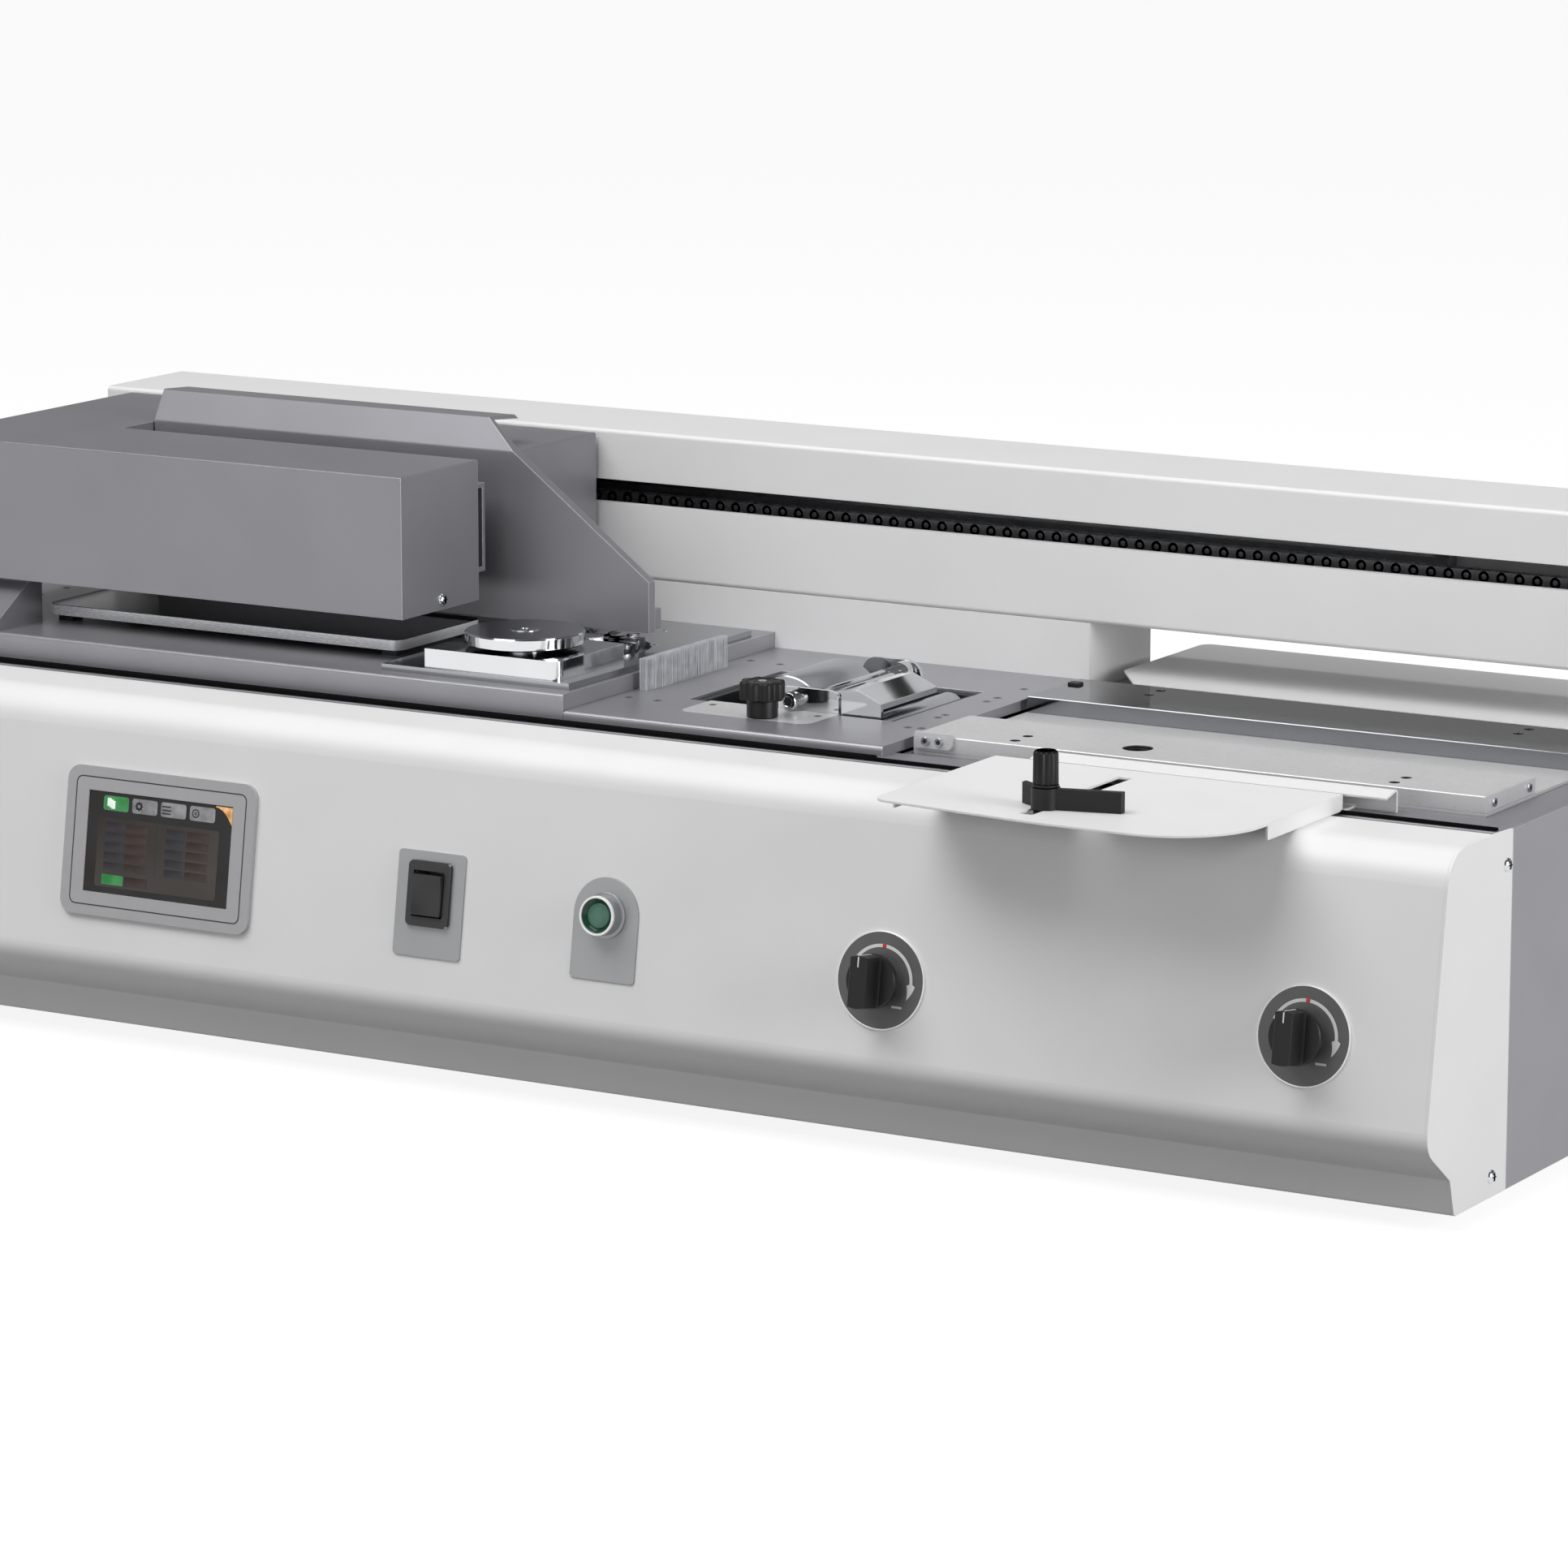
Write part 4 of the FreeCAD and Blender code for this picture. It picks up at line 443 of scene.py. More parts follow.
# Brushed or satin surfaces keep a soft sheen without a clear reflection; the button's neck is a darker
# copy of the ring's aluminium for painted shade
SWITCH_PLATE = Metal("aluminium_brushed_switch_plate", "A4A5A7", 0.42, 0.15, 0.003, 0.02, bare=0.3)
RING_METAL = Metal("aluminium_satin_ring", "F0F0F0", 0.3, 0.15, 0.001, 0.01, bare=0.3)
# The level plate's edge is pale half-bare steel that reads bright whatever it faces: painted reflection
EDGE_REFLECTION_METAL = Metal("steel_edge_painted_reflection", "E6E7E9", 0.25, 0.2, 0.002, 0.03, bare=0.5)
NECK_SHADE_METAL = Metal("aluminium_satin_neck_painted_shade", "9C9DA0", 0.34, 0.15, 0.001, 0.02, bare=0.5)
# Phenolic knobs, polyamide guide and switch plastics hold a fine spark-eroded grain
BLACK_KNOB = Moulded("phenolic_black", "171718", 0.42, 0.15, 0.006, 0.06, ior=1.36)
SWITCH_BLACK = Moulded("polycarbonate_black_matt", "353537", 0.42, 0.12, 0.003, 0.04, ior=1.42)
PADDLE_BLACK = Moulded("polycarbonate_black_satin", "2C2C2E", 0.3, 0.12, 0.003, 0.05, ior=1.42)
# Near-black matt strip for the shade in the gap between fascia and decks: painted shade
GAP_SHADE_BLACK = Moulded("gap_painted_shade_black", "080809", 0.85, 0.5, 0.02, 0.08, ior=1.15)
RUBBER = Moulded("rubber_black", "101011", 0.7, 0.4, 0.02, 0.08, ior=1.3)
# Film, painted bezel, nylon and screen print are matt and even
DIAL_FACE = Moulded("dial_plate_dark_film", "5A5A5B", 0.45, 0.2, 0.003, 0.03)
BEZEL = Moulded("bezel_painted_grey", "ABABAD", 0.42, 0.2, 0.003, 0.015)
BRISTLE = Moulded("nylon_bristle_pale", "D0D1D6", 0.45, 0.3, 0.002, 0.12)
WHITE_INK = Moulded("screen_print_white", "DCDCDC", 0.5, 0.1, 0.001, 0.02)
RED_INK = Moulded("screen_print_red", "C8322B", 0.5, 0.1, 0.001, 0.02)
BLACK_INK = Moulded("screen_print_black", "2B2C2E", 0.5, 0.1, 0.001, 0.02)
# Holes, screw recesses and sockets are coloured near-black for the shade in them: painted shade. Flush
# deck heads are dull grey, partly their own colour and partly painted shade of their countersinks
SHADOW = Moulded("hole_painted_shade_black", "141415", 0.6, 0.2, 0.002, 0.05)
PLUG = Moulded("flush_head_grey_painted_shade", "66666A", 0.4, 0.2, 0.003, 0.05)
# Display picture: dark glass with patches that glow a little. Lens: acrylic whose small glow is painted
# light, its rim a darker copy for painted shade
SCREEN = Lit("display_glass_dark", "2C2C2D", 0.14, glow=0.2, second="241F1D", run=45.0)
TAB_GREEN = Lit("display_patch_green", "2A7F40", 0.25, glow=0.1, second="4C9A60", run=9.0)
TAB_GREY = Lit("display_patch_grey", "6E6E71", 0.25, glow=0.12, second="9A9A9C", run=9.0)
TAB_SIGN = Lit("display_sign_dark", "3A3A3C", 0.25, glow=0.1, second="2E2E30", run=9.0)
TAB_SIGN_PALE = Lit("display_sign_pale", "CFE3D3", 0.25, glow=0.3, second="E6F0E8", run=9.0)
FIELD_BROWN = Lit("display_patch_brown", "3C2D28", 0.25, glow=0.15, second="2F2623", run=14.0)
FIELD_BLUE = Lit("display_patch_slate", "28282F", 0.25, glow=0.15, second="2F2D32", run=8.0)
FIELD_GREY = Lit("display_panel_umber", "3D3834", 0.25, glow=0.16, second="322D2A", run=40.0)
FLARE = Lit("display_flare_orange", "B26C1C", 0.25, glow=0.35, second="EFC78F", run=6.0)
LENS_GREEN = Lit("lens_acrylic_green", "42685A", 0.18, glow=0.08, second="4E7868", run=12.0)
LENS_RIM = Lit("lens_acrylic_green_painted_shade", "173C2C", 0.16, glow=0.03, second="1F4A38", run=6.0)


@dataclass
class Mesh:
    """Points and faces of a piece while it is worked out.

    Attributes:
        points: one row of x, y, z per point.
        quads: four point numbers per face.
        caps: point numbers of each many-sided face.
    """

    points: np.ndarray
    quads: np.ndarray
    caps: list[np.ndarray] = field(default_factory=list)

    def moved(self, matrix: np.ndarray) -> "Mesh":
        """Copy placed by a 4 by 4 matrix."""
        points = self.points @ matrix[:3, :3].T + matrix[:3, 3]
        return Mesh(points, self.quads, self.caps)

    def shifted(self, x: float, y: float, z: float) -> "Mesh":
        """Copy moved by x, y and z."""
        return Mesh(self.points + np.array([x, y, z]), self.quads, self.caps)


def mm(*pairs: tuple[float, float]) -> list[tuple[float, float]]:
    """Pairs given in millimetres, turned to metres."""
    return [(first * MM, second * MM) for first, second in pairs]


def joined(parts: Sequence[Mesh]) -> Mesh:
    """Put several meshes into one.

    Args:
        parts: meshes to join.

    Returns:
        One mesh that holds them all.
    """
    counts = np.cumsum([0] + [len(part.points) for part in parts])
    points = np.concatenate([part.points for part in parts])
    quads = np.concatenate([part.quads + start for part, start in zip(parts, counts)])
    caps = [cap + start for part, start in zip(parts, counts) for cap in part.caps]
    return Mesh(points, quads, caps)


def grid(points: np.ndarray, closed: bool = False, capped: bool = False) -> Mesh:
    """Skin over a grid of points.

    Args:
        points: array of columns by rows by 3.
        closed: whether the last column meets the first.
        capped: whether the first and last rows get a many-sided face each.

    Returns:
        The mesh, its normals to the right of rows seen along the columns.
    """
    columns, rows = points.shape[:2]
    index = np.arange(columns * rows).reshape(columns, rows)
    here = index if closed else index[:-1]
    there = np.roll(index, -1, axis=0) if closed else index[1:]
    quads = np.stack([here[:, :-1], there[:, :-1], there[:, 1:], here[:, 1:]], axis=-1)
    caps = [index[::-1, 0].copy(), index[:, -1].copy()] if capped else []
    return Mesh(points.reshape(-1, 3), quads.reshape(-1, 4), caps)


def carried(outline: np.ndarray, steps: Sequence[tuple[float, float]],
            bend: Callable[[np.ndarray, np.ndarray], np.ndarray] | None = None) -> Mesh:
    """Closed outline carried through steps that move it inwards and along.

    A point of the outline p with outward normal n goes to p - n * inset at height rise.

    Args:
        outline: points of a closed flat outline, counter-clockwise, in metres.
        steps: inset and rise of each step, from the lower end to the upper end.
        bend: height added to the last half of the steps as a function of x and y.

    Returns:
        A closed mesh.
    """
    along = np.roll(outline, -1, axis=0) - np.roll(outline, 1, axis=0)
    along /= np.linalg.norm(along, axis=1, keepdims=True)
    outward = np.stack([along[:, 1], -along[:, 0]], axis=1)
    inset = np.array([step[0] for step in steps])
    rise = np.array([step[1] for step in steps])
    flat = outline[:, None, :] - outward[:, None, :] * inset[None, :, None]
    height = np.broadcast_to(rise, flat.shape[:2]).copy()
    if bend is not None:
        half = len(rise) // 2
        height[:, half:] += bend(flat[:, half:, 0], flat[:, half:, 1])
    return grid(np.concatenate([flat, height[:, :, None]], axis=2), closed=True, capped=True)


def circle(radius: float, count: int = 48) -> np.ndarray:
    """Round outline."""
    angle = np.arange(count) * 2 * np.pi / count
    return np.stack([radius * np.cos(angle), radius * np.sin(angle)], axis=1)


def lobed(radius: float, dip: float, lobes: int, count: int, sharp: float = 1.0) -> np.ndarray:
    """Outline whose radius dips by a raised cosine between its lobes.

    Args:
        radius: radius on the lobes in metres.
        dip: depth between the lobes in metres.
        lobes: number of lobes.
        count: number of points.
        sharp: power of the raised cosine; above 1 the dips are narrow.

    Returns:
        One row of x and y per point.
    """
    angle = np.arange(count) * 2 * np.pi / count
    far = radius - dip * ((1 - np.cos(lobes * angle)) / 2) ** sharp
    return np.stack([far * np.cos(angle), far * np.sin(angle)], axis=1)


def rounded(width: float, height: float, corner: float, count: int = 8) -> np.ndarray:
    """Rectangle outline with quarter-circle corners.

    Args:
        width: size along x in metres.
        height: size along y in metres.
        corner: radius of the corners in metres.
        count: points per corner.

    Returns:
        One row of x and y per point.
    """
    angle = (np.arange(count) / (count - 1))[None, :] * np.pi / 2
    turn = angle + (np.arange(4) * np.pi / 2)[:, None]
    centre_x = np.array([1, -1, -1, 1])[:, None] * (width / 2 - corner)
    centre_y = np.array([1, 1, -1, -1])[:, None] * (height / 2 - corner)
    x = centre_x + corner * np.cos(turn)
    y = centre_y + corner * np.sin(turn)
    return np.stack([x.ravel(), y.ravel()], axis=1)


def turned(profile: Sequence[tuple[float, float]], count: int = 48) -> Mesh:
    """Surface of revolution: radius and height pairs carried round the z axis."""
    widest = max(radius for radius, _ in profile)
    return carried(circle(widest, count), [(widest - radius, z) for radius, z in profile])


def well(radius: float, depth: float, pitch: float, count: int = 32) -> Mesh:
    """Inside of a tapped hole below z = 0.

    The radius shrinks by a triangle wave of the thread's pitch from the mouth to the floor.

    Args:
        radius: radius of the mouth in metres.
        depth: depth in metres.
        pitch: thread pitch in metres.
        count: points round the hole.

    Returns:
        A mesh open at the mouth, its faces towards the hole's axis.
    """
    turns = max(2, int(depth / pitch))
    z = -np.arange(2 * turns + 1) * depth / (2 * turns)
    far = radius - (np.arange(2 * turns + 1) % 2) * pitch * 0.4
    made = turned([(float(r), float(h)) for r, h in zip(far, z)] + [(radius * 0.1, -depth)], count)
    made.caps = made.caps[1:]
    return made


def crown(width: float, height: float, count: int = 12) -> np.ndarray:
    """Flat-bottomed outline whose top is half an ellipse."""
    angle = np.linspace(0.0, np.pi, count)
    return np.stack([width / 2 * np.cos(angle), height * np.sin(angle)], axis=1)


def arch(width: float, height: float, corner: float, count: int = 24) -> np.ndarray:
    """Outline of a plate with a half-round top and small round corners below.

    Args:
        width: size along x in metres, twice the radius of the top.
        height: size along y in metres.
        corner: radius of the lower corners in metres.
        count: points along the top.

    Returns:
        One row of x and y per point.
    """
    angle = np.linspace(0.0, np.pi, count)
    r = width / 2
    top = np.stack([r * np.cos(angle), height / 2 - r + r * np.sin(angle)], axis=1)
    small = np.linspace(0.0, np.pi / 2, 5)
    left = np.stack([-r + corner - corner * np.cos(small), -height / 2 + corner - corner * np.sin(small)],
                    axis=1)
    right = np.stack([-left[::-1, 0], left[::-1, 1]], axis=1)
    return np.concatenate([top, left, right])


def bar_in_circle(half: float, radius: float, count: int = 14) -> np.ndarray:
    """Bar outline along y whose ends follow a circle: y = sqrt(radius^2 - x^2).

    Args:
        half: half width of the bar in metres.
        radius: radius of the circle in metres.
        count: points per end.

    Returns:
        One row of x and y per point.
    """
    x = np.linspace(half, -half, count)
    y = np.sqrt(radius ** 2 - x ** 2)
    return np.concatenate([np.stack([x, y], axis=1), np.stack([-x, -y], axis=1)])


def lofted(sections: Sequence[tuple[np.ndarray, float]], capped: bool = True) -> Mesh:
    """Skin over flat outlines of equal point count, each at its own height.

    Args:
        sections: outline and height of each section, from the lower end to the upper end.
        capped: whether the end sections are closed.

    Returns:
        The mesh.
    """
    flat = np.stack([outline for outline, _ in sections], axis=1)
    height = np.broadcast_to(np.array([z for _, z in sections]), flat.shape[:2])
    return grid(np.concatenate([flat, height[:, :, None]], axis=2), closed=True, capped=capped)


def axes(origin: Sequence[float], x: Sequence[float], z: Sequence[float]) -> np.ndarray:
    """Matrix of a local frame; its y axis is z cross x.

    Args:
        origin: place of the frame in metres.
        x: direction of its x axis.
        z: direction of its z axis.

    Returns:
        The 4 by 4 matrix.
    """
    matrix = np.eye(4)
    matrix[:3, 0] = x
    matrix[:3, 1] = np.cross(z, x)
    matrix[:3, 2] = z
    matrix[:3, 3] = origin
    return matrix


def facing(axis: str, origin: Sequence[float]) -> np.ndarray:
    """Local frame whose z axis points along an axis of the machine.

    Args:
        axis: one of +x, -x, +y, -y and +z.
        origin: place of the frame in metres.

    Returns:
        The 4 by 4 matrix.
    """
    frames = {"+z": ((1, 0, 0), (0, 0, 1)), "-y": ((1, 0, 0), (0, -1, 0)),
              "+x": ((0, 1, 0), (1, 0, 0)), "-x": ((0, -1, 0), (-1, 0, 0)),
              "+y": ((-1, 0, 0), (0, 1, 0))}
    x, z = frames[axis]
    return axes(origin, x, z)


def piece(name: str, mesh: Mesh, finish: Finish, body: Body, sharp: float = 32.0,
          replaces: Sequence[str] = ()) -> bpy.types.Object:
    """Make a Blender object from a mesh and let it ride on its body.

    Args:
        name: name of the piece.
        mesh: its points and faces in the frame's axes.
        finish: its material.
        body: CAD body that carries it.
        sharp: angle in degrees above which an edge stays sharp.
        replaces: CAD nodes that it stands for.

    Returns:
        The object.
    """
    data = bpy.data.meshes.new(name)
    faces = list(mesh.quads) + mesh.caps
    loops = np.concatenate([mesh.quads.ravel()] + list(mesh.caps)) if mesh.caps else mesh.quads.ravel()
    totals = np.array([len(face) for face in faces])
    data.vertices.add(len(mesh.points))
    data.vertices.foreach_set("co", mesh.points.astype(np.float32).ravel())
    data.loops.add(len(loops))
    data.loops.foreach_set("vertex_index", loops.astype(np.int32))
    data.polygons.add(len(totals))
    data.polygons.foreach_set("loop_start", np.concatenate([[0], np.cumsum(totals)[:-1]]))
    data.polygons.foreach_set("loop_total", totals)
    data.update(calc_edges=True)
    data.validate()
    data.shade_smooth()
    data.set_sharp_from_angle(angle=math.radians(sharp))
    data.materials.append(finish.material())
    made = linked(name, data)
    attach(made, body.value)
    if replaces:
        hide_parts(*replaces)
    LOG.info("piece %s: %d faces on %s", name, len(totals), body.value)
    return made


def coat(finish: Finish, *nodes: str) -> None:
    """Give CAD nodes their finish in every material slot.

    Args:
        finish: finish to give.
        *nodes: names of the CAD nodes.
    """
    for name in nodes:
        for slot in frame["nodes"][name].material_slots:
            slot.material = finish.material()


def corners(node: str) -> tuple[np.ndarray, np.ndarray]:
    """Lowest and highest corner of a CAD node as arrays."""
    low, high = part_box(node)
    return np.array(low), np.array(high)


def on_top(node: str, pairs: Sequence[tuple[float, float]]) -> list[np.ndarray]:
    """Frames that face up from the top of a CAD node.

    Args:
        node: name of the CAD node.
        pairs: x and y of each frame in millimetres.

    Returns:
        One 4 by 4 matrix per pair.
    """
    _, high = corners(node)
    return [facing("+z", (x, y, high[2])) for x, y in mm(*pairs)]


@dataclass
class Assembly:
    """Sub-assembly of the machine; it finishes its CAD nodes and builds its new pieces."""

    def dress(self) -> None:
        """Dress the sub-assembly; each one has its own way."""
        raise NotImplementedError


@dataclass
class Panel:
    """The leaning control panel: x along the machine, s up the slope, out of the face."""

    tilt: float = 8.6
    line_y: float = -0.24433
    floor_z: float = 0.012

    def at(self, x: float, s: float, out: float = 0.0) -> np.ndarray:
        """Local frame on the panel, z out of the face and y up the slope.

        Args:
            x: place along the machine in metres.
            s: place up the slope in metres.
            out: distance out of the face in metres.

        Returns:
            The 4 by 4 matrix.
        """
        lean = math.radians(self.tilt)
        up = np.array([0.0, math.sin(lean), math.cos(lean)])
        face = np.array([0.0, -math.cos(lean), math.sin(lean)])
        origin = np.array([x, self.line_y, self.floor_z]) + up * s + face * out
        return axes(origin, (1.0, 0.0, 0.0), face)


@dataclass
class Screws:
    """Screw heads and flush plugs of the machine.

    Attributes:
        radius: usual head radius.
        rise: height of such a head.
    """

    radius: float = 4.6 * MM
    rise: float = 2.6 * MM

    def head(self, drive: Drive, r: float) -> tuple[Mesh, Mesh]:
        """Head and its drive recess, with z along the screw's axis out of the part.

        Args:
            drive: kind of recess.
            r: head radius in metres.

        Returns:
            The head and the dark recess that lies on it.
        """
        rise = self.rise * r / self.radius
        if drive is Drive.CROSS:
            arc = np.linspace(0, np.pi / 2, 7)
            profile = [(r, 0.0)] + [(r * math.cos(a * 0.92), rise * math.sin(a)) for a in arc]
            bars = [carried(rounded(length, width, width * 0.3, 3),
                            [(0, rise * 0.72), (0, rise * 1.005)])
                    for length, width in ((r * 1.05, r * 0.2), (r * 0.2, r * 1.05))]
            return turned(profile, 32), joined(bars)
        if drive is Drive.FLUSH:
            profile = [(r, 0.0), (r * 0.98, 0.12 * MM), (r * 0.9, 0.16 * MM)]
            mark = carried(lobed(r * 0.5, r * 0.06, 6, 6), mm((0, 0.1), (0, 0.18)))
            return turned(profile, 24), mark
        profile = [(r, 0.0), (r, rise * 0.8), (r * 0.94, rise), (r * 0.62, rise)]
        hexagon = lobed(r * 0.56, r * 0.06, 6, 6)
        return turned(profile, 32), carried(hexagon, [(0, rise * 0.5), (0, rise * 1.004)])

    def place(self, name: str, spots: Sequence[np.ndarray], body: Body, drive: Drive = Drive.CROSS,
              radius: float | None = None, finish: Finish | None = None) -> None:
        """Set screws at the given local frames.

        Args:
            name: name of the set.
            spots: one 4 by 4 matrix per screw.
            body: CAD body that carries them.
            drive: kind of recess.
            radius: head radius, or the usual one.
            finish: finish of the heads, or zinc plate.
        """
        head, recess = self.head(drive, radius or self.radius)
        piece(name, joined([head.moved(spot) for spot in spots]), finish or ZINC, body)
        # Each recess is a thin near-black inlay on its head: painted shade.
        piece(name + "_recess_painted_shade", joined([recess.moved(spot) for spot in spots]), SHADOW, body)


@dataclass
class Casing(Assembly):
    """Base, decks and fascia.

    Attributes:
        screws: maker of the screw heads.
        rim_z: height of the base rim, on which the black strip of painted shade lies.
        gap_shade_rises: height of that strip along the decks and along the lifting table.
        foot_radius: radius of a rubber foot.
    """

    screws: Screws
    rim_z: float = 238.05 * MM
    gap_shade_rises: tuple[float, float] = (2.6 * MM, 1.9 * MM)
    foot_radius: float = 16 * MM

    def dress(self) -> None:
        """Coat the sheet parts and set the end plates' screws and feet."""
        coat(WHITE_COAT, "front_fascia", "fascia_end_plates", "beam_cover", "beam_end_caps",
             "cover_tray", "feed_ramp", "rear_tray", "beam_plinth")
        coat(GREY_COAT, "base_pan", "side_panels", "left_hood", "nip_deck")
        coat(DECK_COAT, "milling_deck", "glue_deck")
        self.feet()
        self.fill_gap_shade()
        self.end_screws()

    def fill_gap_shade(self) -> None:
        """Black strip with a crowned top that fills the gap between the fascia and the decks: painted
        shade.
        """
        fascia_low, fascia_high = corners("front_fascia")
        deck_low, deck_high = corners("glue_deck")
        lift_low, _ = corners("nip_deck")
        deck_rise, lift_rise = self.gap_shade_rises
        runs = ((fascia_low[0] + 4 * MM, deck_high[0] - 1 * MM, deck_low[1] - 4.0 * MM, deck_rise),
                (deck_high[0] - 1 * MM, fascia_high[0] - 4 * MM, lift_low[1] - 0.2 * MM, lift_rise))
        strips = []
        for x0, x1, y1, rise in runs:
            y0 = fascia_high[1] if fascia_high[1] < y1 else y1 - 4 * MM
            y0 = max(y0, corners("base_pan")[0][1] + 0.1 * MM)
            strip = carried(crown(y1 - y0, rise), [(0.0, 0.0), (0.0, x1 - x0)])
            strips.append(strip.moved(facing("+x", (x0, (y0 + y1) / 2, self.rim_z))))
        piece("deck_gap_painted_shade", joined(strips), GAP_SHADE_BLACK, Body.BASE)

    def end_screws(self) -> None:
        """Screws at the top and foot of both white end plates."""
        low, high = corners("fascia_end_plates")
        places = ((high[1] - 8 * MM, high[2] - 22 * MM), (high[1] - 22 * MM, low[2] + 13 * MM))
        spots = [facing(axis, (x, y, z)) for axis, x in (("+x", high[0]), ("-x", low[0]))
                 for y, z in places]
        self.screws.place("end_plate_screws", spots, Body.BASE)

    def feet(self) -> None:
        """Round rubber feet with a chamfer and a recess underneath."""
        low, high = corners("rubber_feet")
        radius = self.foot_radius
        tall = high[2] - low[2]
        foot = turned([(radius * 0.2, 2 * MM), (radius * 0.5, 2 * MM), (radius * 0.52, 0.0),
                       (radius * 0.84, 0.0), (radius * 0.9, 0.8 * MM), (radius * 0.985, tall * 0.8),
                       (radius * 0.96, tall), (radius * 0.3, tall)], 40)
        spots = [foot.shifted(x, y, 0.0) for x in (low[0] + radius, 0.0, high[0] - radius)
                 for y in (low[1] + radius, high[1] - radius)]
        piece("rubber_foot_set", joined(spots), RUBBER, Body.BASE, replaces=["rubber_feet"])


@dataclass
class Display(Assembly):
    """Touch display: dark frame line, dark glass and its patches.

    Attributes:
        panel: control panel that it lies on.
        x: its centre along the machine.
        s: its centre up the slope.
        glass: height of the glass over the panel.
        layer: step from one layer of patches to the next.
        frame: width, height and corner radius of the frame line, in millimetres.
        tabs: number of tabs.
        tab_v: place of the tabs up the display, in millimetres.
        rows: number of rows of values.
    """

    panel: Panel
    x: float = -310.45 * MM
    s: float = 133.65 * MM
    glass: float = 2.2 * MM
    layer: float = 0.06 * MM
    frame: tuple[float, float, float] = (139, 86.6, 5)
    tabs: int = 4
    tab_v: float = 26.6
    rows: int = 5

    def patch(self, u: float, v: float, width: float, height: float, corner: float,
              layer: int = 1) -> Mesh:
        """Thin rounded patch on the glass, in millimetres.

        Args:
            u: place along the display from its centre.
            v: place up the display from its centre.
            width: size along the display.
            height: size up the display.
            corner: corner radius.
            layer: number of the layer, counted from the glass.

        Returns:
            The patch in the machine's axes.
        """
        made = carried(rounded(width * MM, height * MM, corner * MM, 5),
                       mm((0.0, 0.0), (0.0, 0.04), (0.05, 0.05)))
        lift = self.glass + self.layer * layer
        return made.moved(self.panel.at(self.x + u * MM, self.s + v * MM, lift))

    def dress(self) -> None:
        """Frame line, glass and the picture's patches, without any writing."""
        coat(BEZEL, "display_bezel")
        coat(SCREEN, "display_screen")
        width, height, corner = self.frame
        line = carried(rounded(width * MM, height * MM, corner * MM, 8),
                       mm((0.0, 0.0), (0.0, 0.1), (0.8, 0.1), (0.8, 0.0)))
        line.caps = []
        piece("display_frame_line", line.moved(self.panel.at(self.x, self.s, 3.0 * MM)), BLACK_INK,
              Body.BASE)
        heights = [11.3 - 6.75 * row for row in range(self.rows)]
        piece("display_panel", self.patch(-0.7, -6.5, 98.6, 46.6, 2.0), FIELD_GREY, Body.BASE)
        tabs = [self.patch(-36.4 + i * 23.5, self.tab_v, 20.6, 9.8, 1.8, 2) for i in range(self.tabs)]
        piece("display_tab_active", tabs[0], TAB_GREEN, Body.BASE)
        piece("display_tabs", joined(tabs[1:]), TAB_GREY, Body.BASE)
        self.signs()
        values = [self.patch(u, v, 18.0, 5.4, 0.5, 2) for u in (-18.3, 31.5) for v in heights]
        values.append(self.patch(-16.5, -24.7, 19.0, 6.6, 0.5, 2))
        piece("display_values", joined(values), FIELD_BROWN, Body.BASE)
        names = [self.patch(u, v, 15.6, 5.4, 0.5, 2) for u in (-36.0, 13.6) for v in heights]
        names.append(self.patch(-1.7, -2.0, 0.7, 35.0, 0.3, 2))
        piece("display_names", joined(names), FIELD_BLUE, Body.BASE)
        piece("display_state", self.patch(-35.6, -24.7, 17.6, 6.8, 0.8, 2), TAB_GREEN, Body.BASE)
        piece("display_flare", self.flare(), FLARE, Body.BASE)

    def ring(self, u: float, outline: np.ndarray, wall: float) -> Mesh:
        """Flat ring on a tab.

        Args:
            u: place along the display from its centre, in millimetres.
            outline: outer outline in metres.
            wall: width of the ring in millimetres.

        Returns:
            The ring in the machine's axes.
        """
        made = carried(outline, mm((0.0, 0.0), (0.0, 0.05), (wall, 0.05), (wall, 0.0)))
        made.caps = []
        lift = self.glass + 0.18 * MM
        return made.moved(self.panel.at(self.x + u * MM, self.s + self.tab_v * MM, lift))

    def signs(self) -> None:
        """Small plain signs on the tabs: pages, a toothed ring, two bars and a ring."""
        pages = [self.patch(-42.0 + i * 1.7, 27.2 - i * 0.8, 3.2, 5.4, 0.3, 3 + i) for i in range(3)]
        piece("display_sign_pages", joined(pages), TAB_SIGN_PALE, Body.BASE)
        marks = [self.ring(-17.6, lobed(3.3 * MM, 0.7 * MM, 8, 64, 0.5), 1.5),
                 self.ring(28.6, circle(3.0 * MM, 32), 0.9),
                 self.ring(28.6, circle(1.1 * MM, 16), 0.6)]
        marks += [self.patch(4.6 + shift, self.tab_v + v, 7.6, 1.0, 0.3, 3)
                  for shift, v in ((0.0, 2.0), (0.4, -0.4), (0.0, -2.6))]
        piece("display_signs", joined(marks), TAB_SIGN, Body.BASE)

    def flare(self) -> Mesh:
        """Streak in the upper right corner: its depth grows with the square of its run.

        Returns:
            The streak in the machine's axes.
        """
        run = np.linspace(0.0, 1.0, 14)[:, None]
        side = np.linspace(0.0, 1.0, 4)[None, :]
        u = 44.8 + 13.4 * run + 0.0 * side
        v = 33.4 - 0.3 * run - (1.0 + 11.0 * run ** 2) * side
        flat = np.stack([u * MM, v * MM, np.zeros_like(u)], axis=2)
        return grid(flat[:, ::-1]).moved(self.panel.at(self.x, self.s, self.glass + 0.16 * MM))


